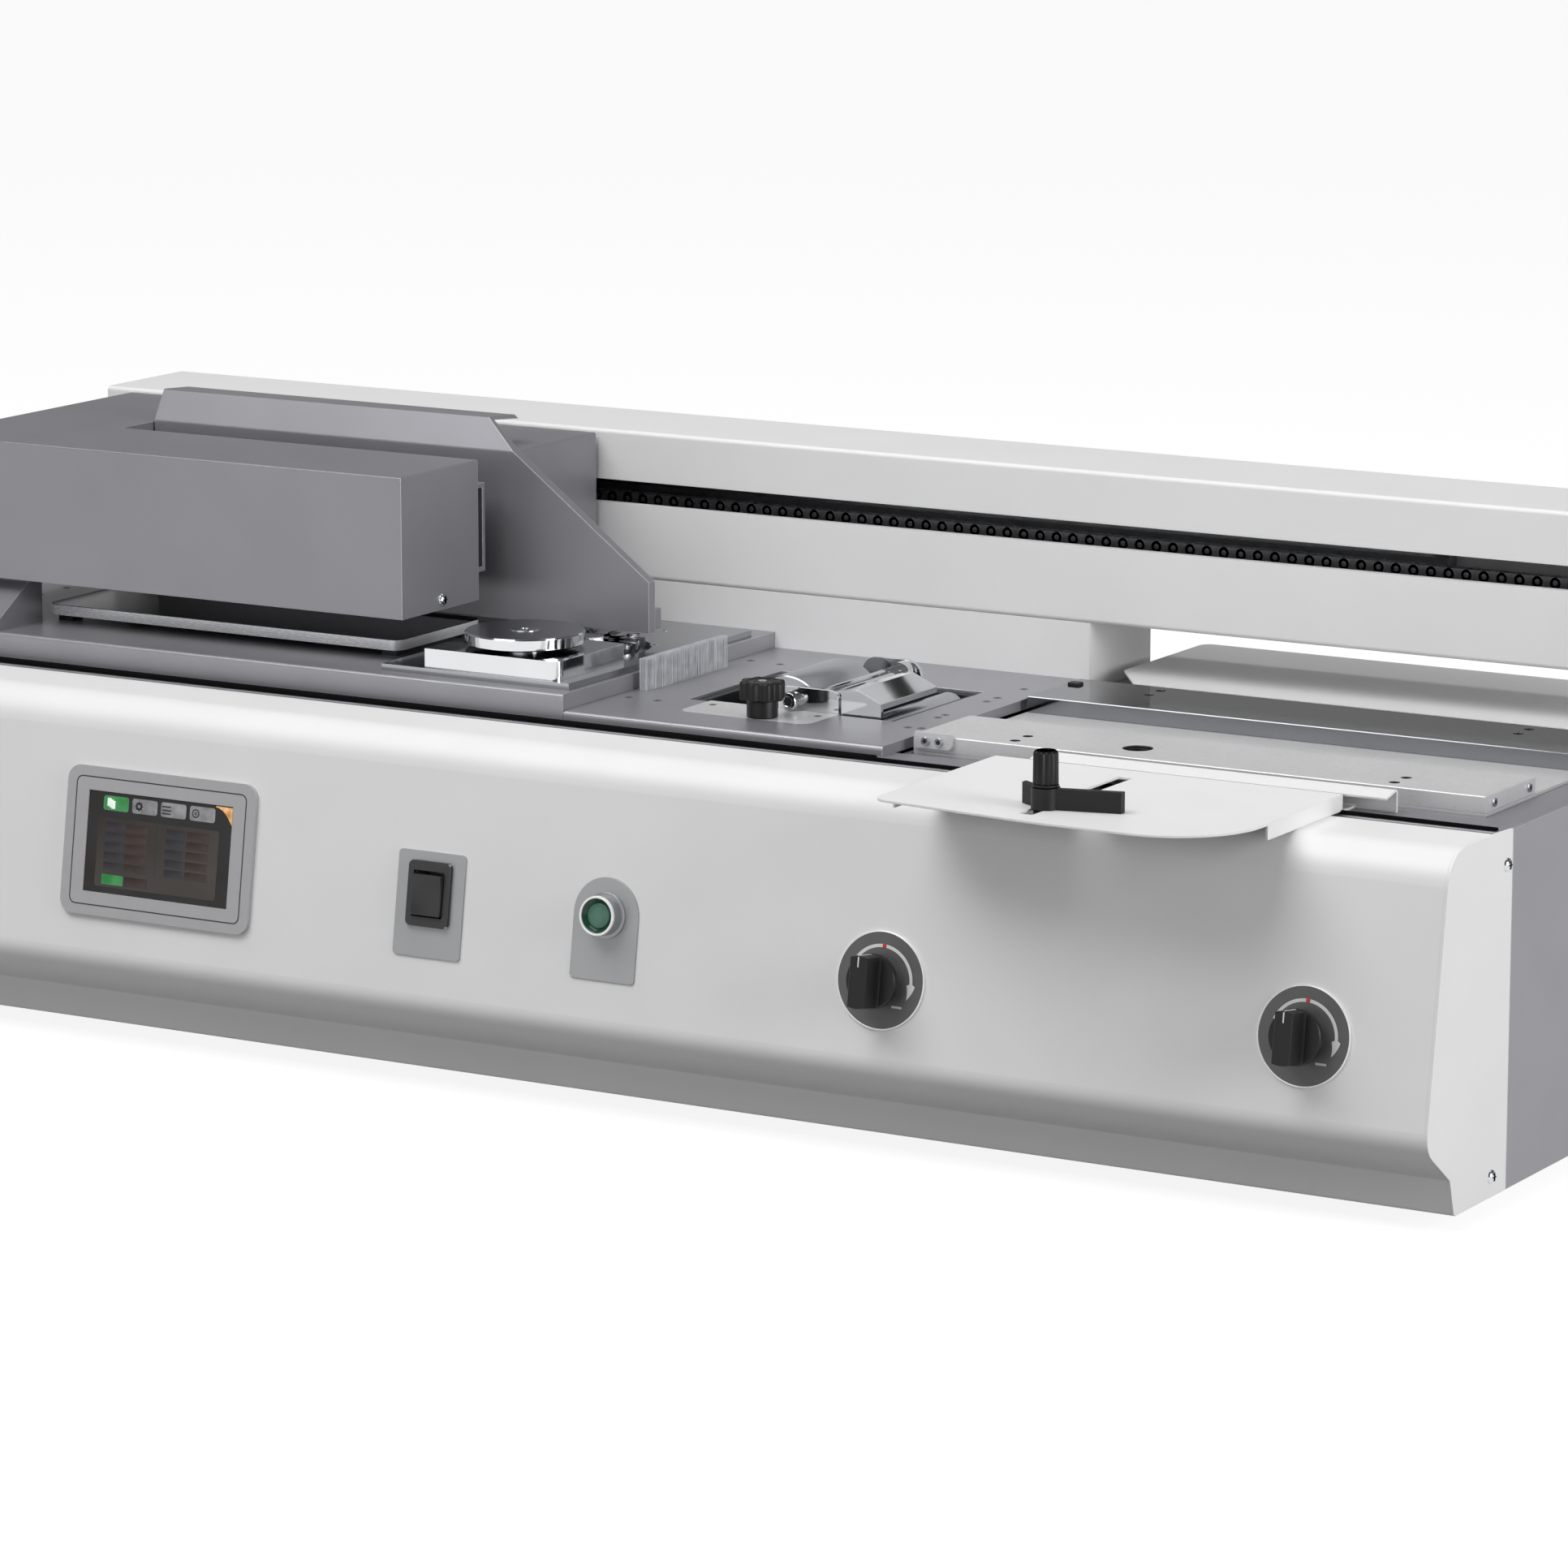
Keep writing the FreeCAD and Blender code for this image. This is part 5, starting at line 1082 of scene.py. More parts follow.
@dataclass
class Switches(Assembly):
    """Rocker switch and push button on their grey plates.

    Attributes:
        panel: control panel that they stand on.
        rocker_x: centre of the rocker along the machine.
        rocker_s: centre of the rocker up the slope.
        button_x: centre of the button along the machine.
        button_s: centre of the button up the slope.
        frame_top: height of the rocker's frame over the panel.
        reach: length of the paddle below its middle.
        upper: length above it, shorter so that the pressed end clears the frame.
    """

    panel: Panel
    rocker_x: float = -93.4 * MM
    rocker_s: float = 126.9 * MM
    button_x: float = 41.35 * MM
    button_s: float = 128.0 * MM
    frame_top: float = 4.1 * MM
    reach: float = 13.8 * MM
    upper: float = 12.9 * MM

    def dress(self) -> None:
        """Plates, frame, paddle, bright ring and lens."""
        coat(SWITCH_PLATE, "rocker_housing")
        self.frame_and_paddle()
        self.button_plate()
        self.ring_and_lens()

    def frame_and_paddle(self) -> None:
        """Black frame round a paddle whose face dips in a shallow parabola."""
        outer = rounded(32.8 * MM, 42.9 * MM, 3.6 * MM, 8)
        eased = rounded(32.0 * MM, 42.1 * MM, 3.2 * MM, 8)
        inner = rounded(23.9 * MM, 30.2 * MM, 0.8 * MM, 8)
        flat = lofted([(outer, 0.6 * MM), (outer, 3.5 * MM), (eased, self.frame_top),
                       (inner, self.frame_top), (inner, 1.0 * MM)], capped=False)
        at = self.panel.at(self.rocker_x, self.rocker_s)
        piece("rocker_frame", flat.moved(at), SWITCH_BLACK, Body.BASE)
        piece("rocker_paddle", self.paddle().moved(at), PADDLE_BLACK, Body.ROCKER, 40.0, ["rocker"])

    def paddle(self) -> Mesh:
        """Rounded bar across x, carried up the slope; its top dips by a parabola and leans.

        Returns:
            The paddle about the frame's middle.
        """
        reach = self.reach
        section = rounded(23.0 * MM, 9.0 * MM, 0.9 * MM, 5)
        middle = np.linspace(-reach + 0.5 * MM, self.upper - 0.5 * MM, 22)
        w = np.concatenate([[-reach], middle, [self.upper]])
        share = np.ones_like(w)
        share[[0, -1]] = 0.97
        top = 1.3 * MM * (w / reach) ** 2 + 0.075 * w + 2.2 * MM
        side = section[:, None, 1]
        u = section[:, None, 0] * share[None, :]
        v = np.where(side > 0, side * share + top, side * 0.6)
        points = np.stack([-u, np.broadcast_to(w, u.shape), v], axis=2)
        return grid(points, closed=True, capped=True)

    def button_plate(self) -> None:
        """Arched plate whose rim is eased by a small step."""
        plate = carried(arch(48.7 * MM, 67.1 * MM, 3.0 * MM), mm((0, -0.3), (0, 0.9), (0.3, 1.2)))
        body = turned(mm((11, -32), (13.9, -31.5), (13.9, -0.2), (11, 0.0)), 24)
        at = self.panel.at(self.button_x, self.button_s)
        parts = [plate.shifted(0.0, -9 * MM, 0.0), body]
        piece("button_plate", joined(parts).moved(at), SWITCH_PLATE, Body.BASE, 34.0, ["button_housing"])

    def ring_and_lens(self) -> None:
        """Grey neck on a low flange, a darker copy of the ring's aluminium for painted shade, a bright
        ring with a flat face and the sunk green lens.
        """
        neck = turned(mm((15.2, 1.1), (15.0, 2.7), (14.2, 3.1), (12.9, 3.2), (12.9, 11.4),
                         (12.4, 11.6)), 64)
        ring = turned(mm((12.2, 11.2), (12.95, 11.5), (12.9, 12.7), (12.5, 13.1), (11.4, 13.1),
                         (11.25, 12.8), (11.25, 11.0)), 64)
        neck.caps = []
        ring.caps = []
        at = self.panel.at(self.button_x, self.button_s)
        piece("button_neck", neck.moved(at), NECK_SHADE_METAL, Body.BASE, 40.0)
        piece("button_ring", ring.moved(at), RING_METAL, Body.BASE, 40.0)
        # The rim is the lens acrylic made darker for the shade of its recess, painted shade, and it glows
        # a little, painted light.
        rim = turned(mm((10.8, 6.5), (11.15, 9.0), (11.15, 12.2), (10.8, 12.5), (10.2, 12.1),
                        (8.7, 9.4), (8.0, 9.2)), 48)
        piece("button_lens_rim", rim.moved(at), LENS_RIM, Body.BUTTON, 50.0, ["push_button"])
        lens = turned(mm((8.4, 8.8), (8.3, 9.9), (7.7, 10.4), (4.0, 10.6), (1.0, 10.7)), 48)
        piece("button_lens", lens.moved(at), LENS_GREEN, Body.BUTTON, 50.0)


@dataclass
class Dial(Assembly):
    """Speed dial: dark plate, printed arc and a black grip knob.

    Attributes:
        panel: control panel that it stands on.
        name: start of its pieces' names.
        body: CAD body of its knob, whose node has the same name.
        x: its centre along the machine.
        s: its centre up the slope.
        print_radius: radius of the printed arc.
        grip: half width, radius and height of each section of the grip, in millimetres.
    """

    panel: Panel
    name: str
    body: Body
    x: float
    s: float = 109.6 * MM
    print_radius: float = 21.9 * MM
    grip: tuple[tuple[float, float, float], ...] = (
        (7.4, 17.2, 12.6), (7.1, 17.1, 13.6), (6.6, 17.0, 14.6), (6.4, 17.0, 16.4),
        (6.3, 16.9, 28.0), (6.1, 16.7, 29.2), (5.5, 16.2, 29.8))

    def arc(self, radius: float, start: float, stop: float, width: float, head: float) -> Mesh:
        """Printed arc whose width swells into an arrow head near its end.

        Args:
            radius: radius of the arc's middle in metres.
            start: first angle in degrees.
            stop: last angle in degrees.
            width: half width in metres.
            head: half width of the arrow head in metres.

        Returns:
            The flat arc.
        """
        run = np.linspace(0.0, 1.0, 60)
        angle = np.radians(start + (stop - start) * run)
        taper = np.where(run > 0.86, head * (1 - run) / 0.14, width)
        side = np.linspace(-1.0, 1.0, 3)
        far = radius + taper[:, None] * side[None, :]
        x = far * np.cos(angle)[:, None]
        y = far * np.sin(angle)[:, None]
        return grid(np.stack([x, y, np.zeros_like(x)], axis=2)[:, ::-1])

    def dress(self) -> None:
        """Plate rim, print and knob."""
        face = self.panel.at(self.x, self.s, 1.25 * MM)
        rim = turned(mm((31.2, -1.2), (31.2, 0.1), (30.9, 0.3), (30.5, 0.3), (30.3, 0.0)), 96)
        rim.caps = []
        piece(self.name + "_rim", rim.moved(face), RING_METAL, Body.BASE)
        lifted = self.panel.at(self.x, self.s, 1.33 * MM)
        dash = carried(rounded(7.4 * MM, 1.5 * MM, 0.2 * MM, 3), mm((0, 0), (0, 0.04)))
        print_parts = [self.arc(self.print_radius, 158.0, -29.0, 1.05 * MM, 3.1 * MM),
                       dash.shifted(12.9 * MM, -15.6 * MM, 0.0)]
        piece(self.name + "_print", joined(print_parts).moved(lifted), WHITE_INK, Body.BASE)
        dot = turned(mm((1.5, 0.0), (1.5, 0.05), (1.3, 0.08)), 24)
        dot = dot.shifted(1.2 * MM, self.print_radius, 0.05 * MM)
        piece(self.name + "_dot", dot.moved(lifted), RED_INK, Body.BASE)
        self.knob()

    def knob(self) -> None:
        """Hub, round flange and a tall grip bar that carries a white line.

        Each section of the grip is a bar in a circle; its half width and radius shrink with height.
        """
        at = self.panel.at(self.x, self.s, 1.5 * MM)
        body = turned(mm((8.6, 0.0), (8.6, 6.6), (16.6, 8.4), (17.4, 9.0), (17.5, 12.4), (17.0, 13.2),
                         (16.2, 13.4)), 96)
        grip = lofted([(bar_in_circle(half * MM, far * MM), z * MM) for half, far, z in self.grip])
        piece(self.name + "_knob", joined([body, grip]).moved(at), BLACK_KNOB, self.body, 30.0,
              [self.body.value])
        front = carried(rounded(0.9 * MM, 6.6 * MM, 0.2 * MM, 3), mm((0, 29.6), (0, 29.9)))
        side = carried(rounded(0.9 * MM, 14.6 * MM, 0.2 * MM, 3), mm((0, -0.2), (0, 0.1)))
        upper = axes((0.0, 17.0 * MM, 21.6 * MM), (1.0, 0.0, 0.0), (0.0, 1.0, 0.012))
        mark = joined([front.shifted(0.0, 12.9 * MM, 0.0), side.moved(upper)])
        piece(self.name + "_index", mark.moved(at), WHITE_INK, self.body)


@dataclass
class Beam(Assembly):
    """Beam with the roller chain that shows in its slot.

    Attributes:
        pitch: chain pitch.
        plate_radius: radius of a link's round ends.
        end: length of the CAD chain at each end that goes round its sprocket.
    """

    pitch: float = 12.7 * MM
    plate_radius: float = 4.1 * MM
    end: float = 26 * MM

    def link_plate(self) -> Mesh:
        """Side plate of a chain link: two round ends, joined by a waist that dips by a bell curve.

        Returns:
            The plate about its middle.
        """
        t = np.arange(36) * 2 * np.pi / 36
        x = self.pitch / 2 * np.sign(np.cos(t)) + 4.0 * MM * np.cos(t)
        waist = 1.0 - 0.26 * np.exp(-((x / (2.4 * MM)) ** 2))
        y = self.plate_radius * np.sin(t) * waist
        return carried(np.stack([x, y], axis=1), mm((0.15, 0), (0, 0.15), (0, 1.1), (0.2, 1.3)))

    def dress(self) -> None:
        """Coat the drive parts and lay the chain's links along both runs."""
        coat(STEEL, "beam_rail", "drive_sprocket", "idler_sprocket")
        coat(MOTOR_CASE, "chain_motor")
        low, high = corners("drive_chain")
        plate = self.link_plate()
        roller = turned(mm((2.0, 0.0), (4.0, 0.1), (4.0, 4.9), (2.0, 5.0)), 16)
        pin = turned(mm((0.5, -0.7), (1.8, -0.5), (1.9, 0.0), (1.9, 7.6), (0.5, 7.7)), 12)
        start = low[0] + self.end
        count = int((high[0] - low[0] - 2 * self.end) / self.pitch)
        parts = []
        for z in (high[2] - 4.3 * MM, low[2] + 4.3 * MM):
            for i in range(count):
                x = start + i * self.pitch
                spots = ((plate, x + self.pitch / 2, 0.0 if i % 2 else 0.4 * MM),
                         (plate, x + self.pitch / 2, 6.3 * MM), (roller, x, 1.3 * MM), (pin, x, 0.0))
                parts += [part.moved(facing("-y", (at, high[1] - back, z))) for part, at, back in spots]
        piece("chain_links", joined(parts), CHAIN_STEEL, Body.BASE, replaces=["drive_chain"])


@dataclass
class Carriage(Assembly):
    """Grey clamp carriage with its jaws.

    Attributes:
        screws: maker of the screw heads.
        right_screw: distance of the right side's screw from the cover's front and lower edges.
        left_depths: distances of the left side's screws from the front edge, in millimetres.
    """

    screws: Screws
    right_screw: tuple[float, float] = (49 * MM, 7 * MM)
    left_depths: tuple[float, ...] = (30, 120, 210)

    def dress(self) -> None:
        """Coat the cover and the jaws and set the cover's screws."""
        coat(GREY_COAT, "carriage_cover", "rear_jaw", "front_jaw")
        coat(STEEL, "truck", "guide_rods", "clamp_screw")
        coat(ANODISED, "carriage_frame")
        coat(MOTOR_CASE, "clamp_motor")
        low, high = corners("carriage_cover")
        depth, rise = self.right_screw
        spots = [facing("+x", (high[0], low[1] + depth, low[2] + rise))]
        spots += [facing("-x", (low[0], low[1] + y * MM, low[2] + 10 * MM)) for y in self.left_depths]
        self.screws.place("carriage_screws", spots, Body.CARRIAGE)


@dataclass
class Milling(Assembly):
    """Level plate, chrome block, disc and toothed cutter.

    Attributes:
        screws: maker of the screw heads.
        disc_foot: height of the disc's underside over its node's lowest point.
        disc_thickness: thickness of the disc.
        cutter_top: distance of the cutter disc's underside below its node's highest point.
        teeth: number of teeth and tips.
        tip_circle: radius of the circle of the tips.
    """

    screws: Screws
    disc_foot: float = 2.1 * MM
    disc_thickness: float = 8.5 * MM
    cutter_top: float = 8.7 * MM
    teeth: int = 12
    tip_circle: float = 33.6 * MM

    def dress(self) -> None:
        """Finish the plates and build disc, cutter and screws."""
        coat(CHROME, "milling_block")
        coat(BLACKENED, "level_plate")
        coat(MIRROR_PLATE, "milling_plate")
        coat(MOTOR_CASE, "milling_drive")
        self.plate_edge()
        self.disc()
        self.cutter()
        spots = on_top("milling_plate", ((-111.5, 30.1), (-112.8, 96.4), (-89.1, 45.5)))
        self.screws.place("milling_plate_screws", spots, Body.BASE, Drive.FLUSH, 3.4 * MM)
        # Flush deck screws are dull grey, partly their own colour and partly painted shade of their
        # countersinks.
        spots = on_top("milling_deck", ((-84.2, 138.6), (-66.4, 108.0), (-590.0, 20.0), (-590.0, 52.0),
                                        (-590.0, 120.0)))
        self.screws.place("milling_deck_screws", spots, Body.BASE, Drive.FLUSH, 3.2 * MM, PLUG)

    def plate_edge(self) -> None:
        """Band round the level plate in pale half-bare steel that reads bright whatever it faces, a
        painted reflection; eased at its upper edge.
        """
        low, high = corners("level_plate")
        band = carried(rounded(high[0] - low[0], high[1] - low[1], 8 * MM, 10),
                       mm((0.0, 0.0), (-0.05, 0.4), (-0.05, 7.0), (0.3, 7.45)))
        band.caps = []
        middle = (low + high) / 2
        piece("level_plate_edge", band.shifted(middle[0], middle[1], high[2] - 7.5 * MM), EDGE_REFLECTION_METAL,
              Body.BASE)

    def disc(self) -> None:
        """Chrome disc with chamfers, a raised cap and a centre mark."""
        low, high = corners("milling_disc")
        mid = (low + high) / 2
        r = (high[0] - low[0]) / 2
        z0 = low[2]
        under = z0 + self.disc_foot
        top = under + self.disc_thickness
        disc = turned([(14 * MM, z0), (14 * MM, under), (r - 1.2 * MM, under),
                       (r, z0 + 3.0 * MM), (r, top - 0.9 * MM), (r - 0.9 * MM, top)], 128)
        piece("disc_body", disc.shifted(mid[0], mid[1], 0), CHROME, Body.DISC,
              replaces=["milling_disc"])
        face = turned([(r - 0.9 * MM, top - 0.2 * MM), (r - 0.9 * MM, top + 0.02 * MM),
                       (10.6 * MM, top + 0.02 * MM), (10.2 * MM, top - 0.4 * MM),
                       (9.7 * MM, top - 0.4 * MM), (9.5 * MM, top + 0.55 * MM),
                       (9.0 * MM, high[2] - 0.1 * MM),
                       (3.2 * MM, high[2] - 0.1 * MM), (2.8 * MM, top - 0.5 * MM)], 96)
        piece("disc_face", face.shifted(mid[0], mid[1], 0), CHROME_FACE, Body.DISC)

    def cutter(self) -> None:
        """Cutter: a disc with raised-cosine gaps, its carbide tips, a hexagon nut and the spindle."""
        low, high = corners("milling_cutter")
        mid = (low + high) / 2
        z0 = high[2] - self.cutter_top
        disc = carried(lobed(34.0 * MM, 2.4 * MM, self.teeth, 192, 3.0),
                       [(8 * MM, z0), (0.6 * MM, z0), (0, z0 + 0.6 * MM), (0, z0 + 6.4 * MM),
                        (0.8 * MM, z0 + 7.4 * MM), (18 * MM, z0 + 7.4 * MM), (19 * MM, z0 + 6.6 * MM)])
        nut = carried(lobed(11 * MM, 1.4 * MM, 6, 6), [(0, z0 + 6 * MM), (0, z0 + 9.6 * MM),
                                                       (0.8 * MM, z0 + 10.2 * MM)])
        tip = carried(rounded(8.4 * MM, 3.4 * MM, 0.3 * MM, 3), [(0, z0 + 2 * MM), (0, z0 + 8.4 * MM),
                                                                 (0.3 * MM, z0 + 8.7 * MM)])
        tips = []
        for i in range(self.teeth):
            a = 2 * math.pi * i / self.teeth
            centre = (self.tip_circle * math.cos(a), self.tip_circle * math.sin(a), 0)
            tips.append(tip.moved(axes(centre, (math.cos(a), math.sin(a), 0), (0, 0, 1))))
        spindle = turned([(7 * MM, low[2]), (7 * MM, z0 + 1 * MM)], 32)
        piece("cutter_body", joined([disc, nut, spindle]).shifted(mid[0], mid[1], 0), STEEL, Body.CUTTER,
              replaces=["milling_cutter"])
        piece("cutter_tips", joined(tips).shifted(mid[0], mid[1], 0), CARBIDE, Body.CUTTER)


@dataclass
class Brush(Assembly):
    """Strip of stiff pale bristles in a steel channel.

    A real bristle is about 0.3 mm thick; it is drawn thicker, so that it shows.

    Attributes:
        across: bristles across the strip.
        along: bristles along the strip.
        radius: radius of a bristle at its root.
        sides: sides of a bristle.
        rows: share of its length at each ring of points.
    """

    across: int = 10
    along: int = 180
    radius: float = 0.23 * MM
    sides: int = 5
    rows: tuple[float, ...] = (0.0, 0.35, 0.7, 1.0)

    def dress(self) -> None:
        """Stand the bristles in rows; each leans with the square of its height and tapers."""
        coat(TANK_METAL, "brush_holder")
        low, high = corners("spine_brush")
        noise = np.random.default_rng(7)
        u, v = np.meshgrid(np.linspace(0.0, 1.0, self.across), np.linspace(0.0, 1.0, self.along))
        count = u.size
        root = np.stack([low[0] + 0.4 * MM + (high[0] - low[0] - 0.8 * MM) * u.ravel(),
                         low[1] + 0.4 * MM + (high[1] - low[1] - 0.8 * MM) * v.ravel(),
                         np.full(count, low[2] + 2 * MM)], axis=1)
        root[:, :2] += noise.uniform(-0.2 * MM, 0.2 * MM, (count, 2))
        lean = noise.normal(0.0, 0.1 * MM, (count, 2))
        tall = high[2] - root[:, 2] - noise.uniform(0.0, 0.5 * MM, count)
        rows = np.array(self.rows)
        angle = np.arange(self.sides) * 2 * np.pi / self.sides
        ring = np.stack([np.cos(angle), np.sin(angle)], axis=1)
        width = self.radius * (1.0 - 0.35 * rows)
        shape = (count, self.sides, len(rows))
        points = np.zeros(shape + (3,))
        bent = lean[:, None, None, :] * (rows ** 2)[None, None, :, None]
        around = ring[None, :, None, :] * width[None, None, :, None]
        points[..., :2] = root[:, None, None, :2] + bent + around
        points[..., 2] = root[:, None, None, 2] + tall[:, None, None] * rows[None, None, :]
        points[..., :2] = np.clip(points[..., :2], low[:2], high[:2])
        index = np.arange(np.prod(shape)).reshape(shape)
        there = np.roll(index, -1, axis=1)
        quads = np.stack([index[..., :-1], there[..., :-1], there[..., 1:], index[..., 1:]], axis=-1)
        caps = list(index[:, :, -1])
        piece("brush_bristles", Mesh(points.reshape(-1, 3), quads.reshape(-1, 4), caps), BRISTLE,
              Body.BASE, 60.0, ["spine_brush"])


@dataclass
class Glue(Assembly):
    """Glue station: rollers, brackets, roof cover, plate and knob.

    Attributes:
        screws: maker of the screw heads.
        large: radius and length of the large roller.
        small: radius and length of the small roller.
        shaft: radius of their shafts.
    """

    screws: Screws
    large: tuple[float, float] = (30 * MM, 76 * MM)
    small: tuple[float, float] = (12 * MM, 100 * MM)
    shaft: float = 4.9 * MM

    def dress(self) -> None:
        """Finish the station and build rollers and knob."""
        coat(TANK_METAL, "glue_tank", "glue_gearbox")
        coat(CHROME, "glue_cover", "roller_brackets")
        coat(ANODISED, "knob_plate")
        self.roller("large_roller", Body.LARGE_ROLLER, *self.large)
        self.roller("small_roller", Body.SMALL_ROLLER, *self.small)
        self.knob()
        self.boss()
        # Flush screws on the plate and the deck are dull grey, partly their own colour and partly painted
        # shade of their countersinks.
        low, high = corners("knob_plate")
        spots = [facing("+z", (x, low[1] + 30 * MM, high[2])) for x in (low[0] + 9 * MM, high[0] - 9 * MM)]
        self.screws.place("knob_plate_screws", spots, Body.BASE, Drive.FLUSH, 2.6 * MM, PLUG)
        left = [(-46.0, -57.0), (-23.5, -57.0), (-46.5, 102.0), (-22.0, 100.0)]
        right = [(166.0, y) for y in (103.0, 66.0, 51.0, -5.0, -15.0, -55.0)] + [(175.0, -53.0)]
        self.screws.place("glue_deck_screws", on_top("glue_deck", left + right), Body.BASE, Drive.FLUSH,
                          3.0 * MM, PLUG)

    def boss(self) -> None:
        """Polished cap on the front bracket's boss; its socket is a flat near-black inlay in its face,
        painted shade.
        """
        low, _ = corners("roller_brackets")
        at = facing("-y", (low[0] + 12 * MM, low[1], low[2] + 8.5 * MM))
        cap = turned(mm((6.1, -8.0), (6.1, -0.2), (5.6, 0.5), (3.6, 0.5), (3.2, 0.1)), 40)
        piece("boss_cap", cap.moved(at), CHROME, Body.BASE, 36.0)
        # The socket is a thin near-black inlay on the cap: painted shade.
        socket = carried(lobed(3.1 * MM, 0.35 * MM, 6, 36), mm((0, 0.0), (0, 0.3)))
        piece("boss_socket", socket.moved(at), SHADOW, Body.BASE)

    def roller(self, node: str, body: Body, radius: float, reach: float) -> None:
        """Polished drum on its shaft, the drum's ends eased by a chamfer.

        Args:
            node: CAD node that it stands for.
            body: CAD body that carries it.
            radius: drum radius in metres.
            reach: drum length in metres.
        """
        low, high = corners(node)
        mid = (low + high) / 2
        half = reach / 2
        ends = high[1] - mid[1]
        ease = 0.8 * MM
        shaft = self.shaft
        profile = [(shaft, -ends), (shaft, -half), (radius - ease, -half), (radius, -half + ease),
                   (radius, half - ease), (radius - ease, half), (shaft, half), (shaft, ends)]
        at = facing("+y", (mid[0], mid[1], mid[2]))
        piece(node + "_drum", turned(profile, 96).moved(at), CHROME_FACE, body, replaces=[node])

    def knob(self) -> None:
        """Eight-lobed black knob with a flat crown on a round body."""
        low, high = corners("glue_knob")
        mid = (low + high) / 2
        r = (high[0] - low[0]) / 2
        z0 = low[2]
        tall = high[2] - z0
        steps = [(5.0 * MM, tall * 0.46), (0.8 * MM, tall * 0.48), (0.0, tall * 0.52),
                 (0.0, tall * 0.93), (0.4 * MM, tall * 0.975), (1.3 * MM, tall), (3.4 * MM, tall),
                 (3.9 * MM, tall * 0.985)]
        head = carried(lobed(r, 2.6 * MM, 8, 192, 1.2), steps)
        hub = turned([(9.9 * MM, 0.0), (10.3 * MM, 0.4 * MM), (10.3 * MM, tall * 0.4),
                      (9.6 * MM, tall * 0.5)])
        piece("glue_knob_body", joined([head, hub]).shifted(mid[0], mid[1], z0), BLACK_KNOB,
              Body.GLUE_KNOB, 38.0, ["glue_knob"])
        stud = turned([(3.0 * MM, tall - 0.5 * MM), (3.0 * MM, tall - 0.05 * MM), (2.4 * MM, tall)], 24)
        piece("glue_knob_stud", stud.shifted(mid[0], mid[1], z0), STEEL, Body.GLUE_KNOB)


@dataclass
class Nip(Assembly):
    """Clamping plates with threaded holes, bracket screws and a clip.

    Attributes:
        screws: maker of the screw heads.
        hole_radius: radius of the small holes.
        hole_front: distance of the first hole from the plate's outer edge.
        hole_pitch: distance between the two holes of a pair.
        hole_inset: distance of the pairs from the plate's ends.
        hole_depth: depth of every hole.
        big_radius: radius of the big hole.
        big_offset: distance of the big hole from the left pair.
    """

    screws: Screws
    hole_radius: float = 3.55 * MM
    hole_front: float = 12.5 * MM
    hole_pitch: float = 17.0 * MM
    hole_inset: float = 67.5 * MM
    hole_depth: float = 6.5 * MM
    big_radius: float = 9.9 * MM
    big_offset: float = 79.5 * MM

    def dress(self) -> None:
        """Finish the plates and fill their holes."""
        coat(ANODISED, "front_nip_plate", "nip_table")
        coat(MIRROR_STEEL, "rear_nip_plate")
        coat(STEEL, "nip_columns")
        low, high = corners("front_nip_plate")
        bracket = [facing("-y", (low[0] + x * MM, low[1], high[2] - 5.6 * MM)) for x in (10.5, 20.5)]
        self.screws.place("bracket_screws", bracket, Body.FRONT_NIP, Drive.SOCKET, 2.9 * MM)
        rear_low, rear_high = corners("rear_nip_plate")
        depth = rear_high[1] - rear_low[1]
        front = high[1] - depth
        ends = [facing("+x", (high[0], y, rear_high[2] - 5.4 * MM))
                for y in (front + 12 * MM, high[1] - 10 * MM)]
        self.screws.place("plate_end_screws", ends, Body.FRONT_NIP, Drive.SOCKET, 2.8 * MM)
        xs = (low[0] + self.hole_inset, high[0] - self.hole_inset)
        offsets = (self.hole_front, self.hole_front + self.hole_pitch)
        z = rear_high[2] - 0.1 * MM
        # The tapped holes in both plates are coloured near-black for the shade inside them: painted shade.
        small = well(self.hole_radius, self.hole_depth, 1.25 * MM, 24)
        big = well(self.big_radius, self.hole_depth, 1.6 * MM, 48)
        holes = [small.shifted(x, front + offset, z) for x in xs for offset in offsets]
        holes.append(big.shifted(xs[0] + self.big_offset, front + offsets[1], z))
        piece("front_plate_threads", joined(holes), SHADOW, Body.FRONT_NIP, 20.0)
        holes = [small.shifted(x, rear_high[1] - offset, z) for x in xs for offset in offsets]
        piece("rear_plate_threads", joined(holes), SHADOW, Body.REAR_NIP, 20.0)
        clip = carried(rounded(9 * MM, 7 * MM, 1 * MM, 6), mm((0, -0.2), (0, 1.2), (0.5, 1.7)))
        piece("plate_clip", clip.shifted(rear_low[0] + 8 * MM, rear_high[1] - 21 * MM, rear_high[2]),
              BLACK_KNOB, Body.REAR_NIP)


@dataclass
class Tray(Assembly):
    """Side guide and its fluted knob on the front tray.

    Attributes:
        flutes: number of flutes of the knob.
        flute_depth: depth of a flute.
    """

    flutes: int = 14
    flute_depth: float = 0.9 * MM

    def dress(self) -> None:
        """Finish the guide and build the knob: a collar and a fluted grip with a flat top."""
        coat(BLACK_KNOB, "tray_guide")
        low, high = corners("guide_knob")
        mid = (low + high) / 2
        r = (high[0] - low[0]) / 2
        tall = high[2] - low[2]
        collar = carried(circle(r, 96), mm((0.6, 0.0), (0.0, 0.5), (0.0, 1.5), (0.7, 2.0)))
        grip = carried(lobed(r, self.flute_depth, self.flutes, 224, 2.0),
                       [(1.0 * MM, 1.8 * MM), (0.3 * MM, 2.4 * MM), (0.5 * MM, tall - 1.8 * MM),
                        (1.2 * MM, tall - 0.5 * MM), (2.2 * MM, tall), (4.5 * MM, tall)])
        piece("guide_knob_body", joined([collar, grip]).shifted(mid[0], mid[1], low[2]), BLACK_KNOB,
              Body.GUIDE_KNOB, 36.0, ["guide_knob"])


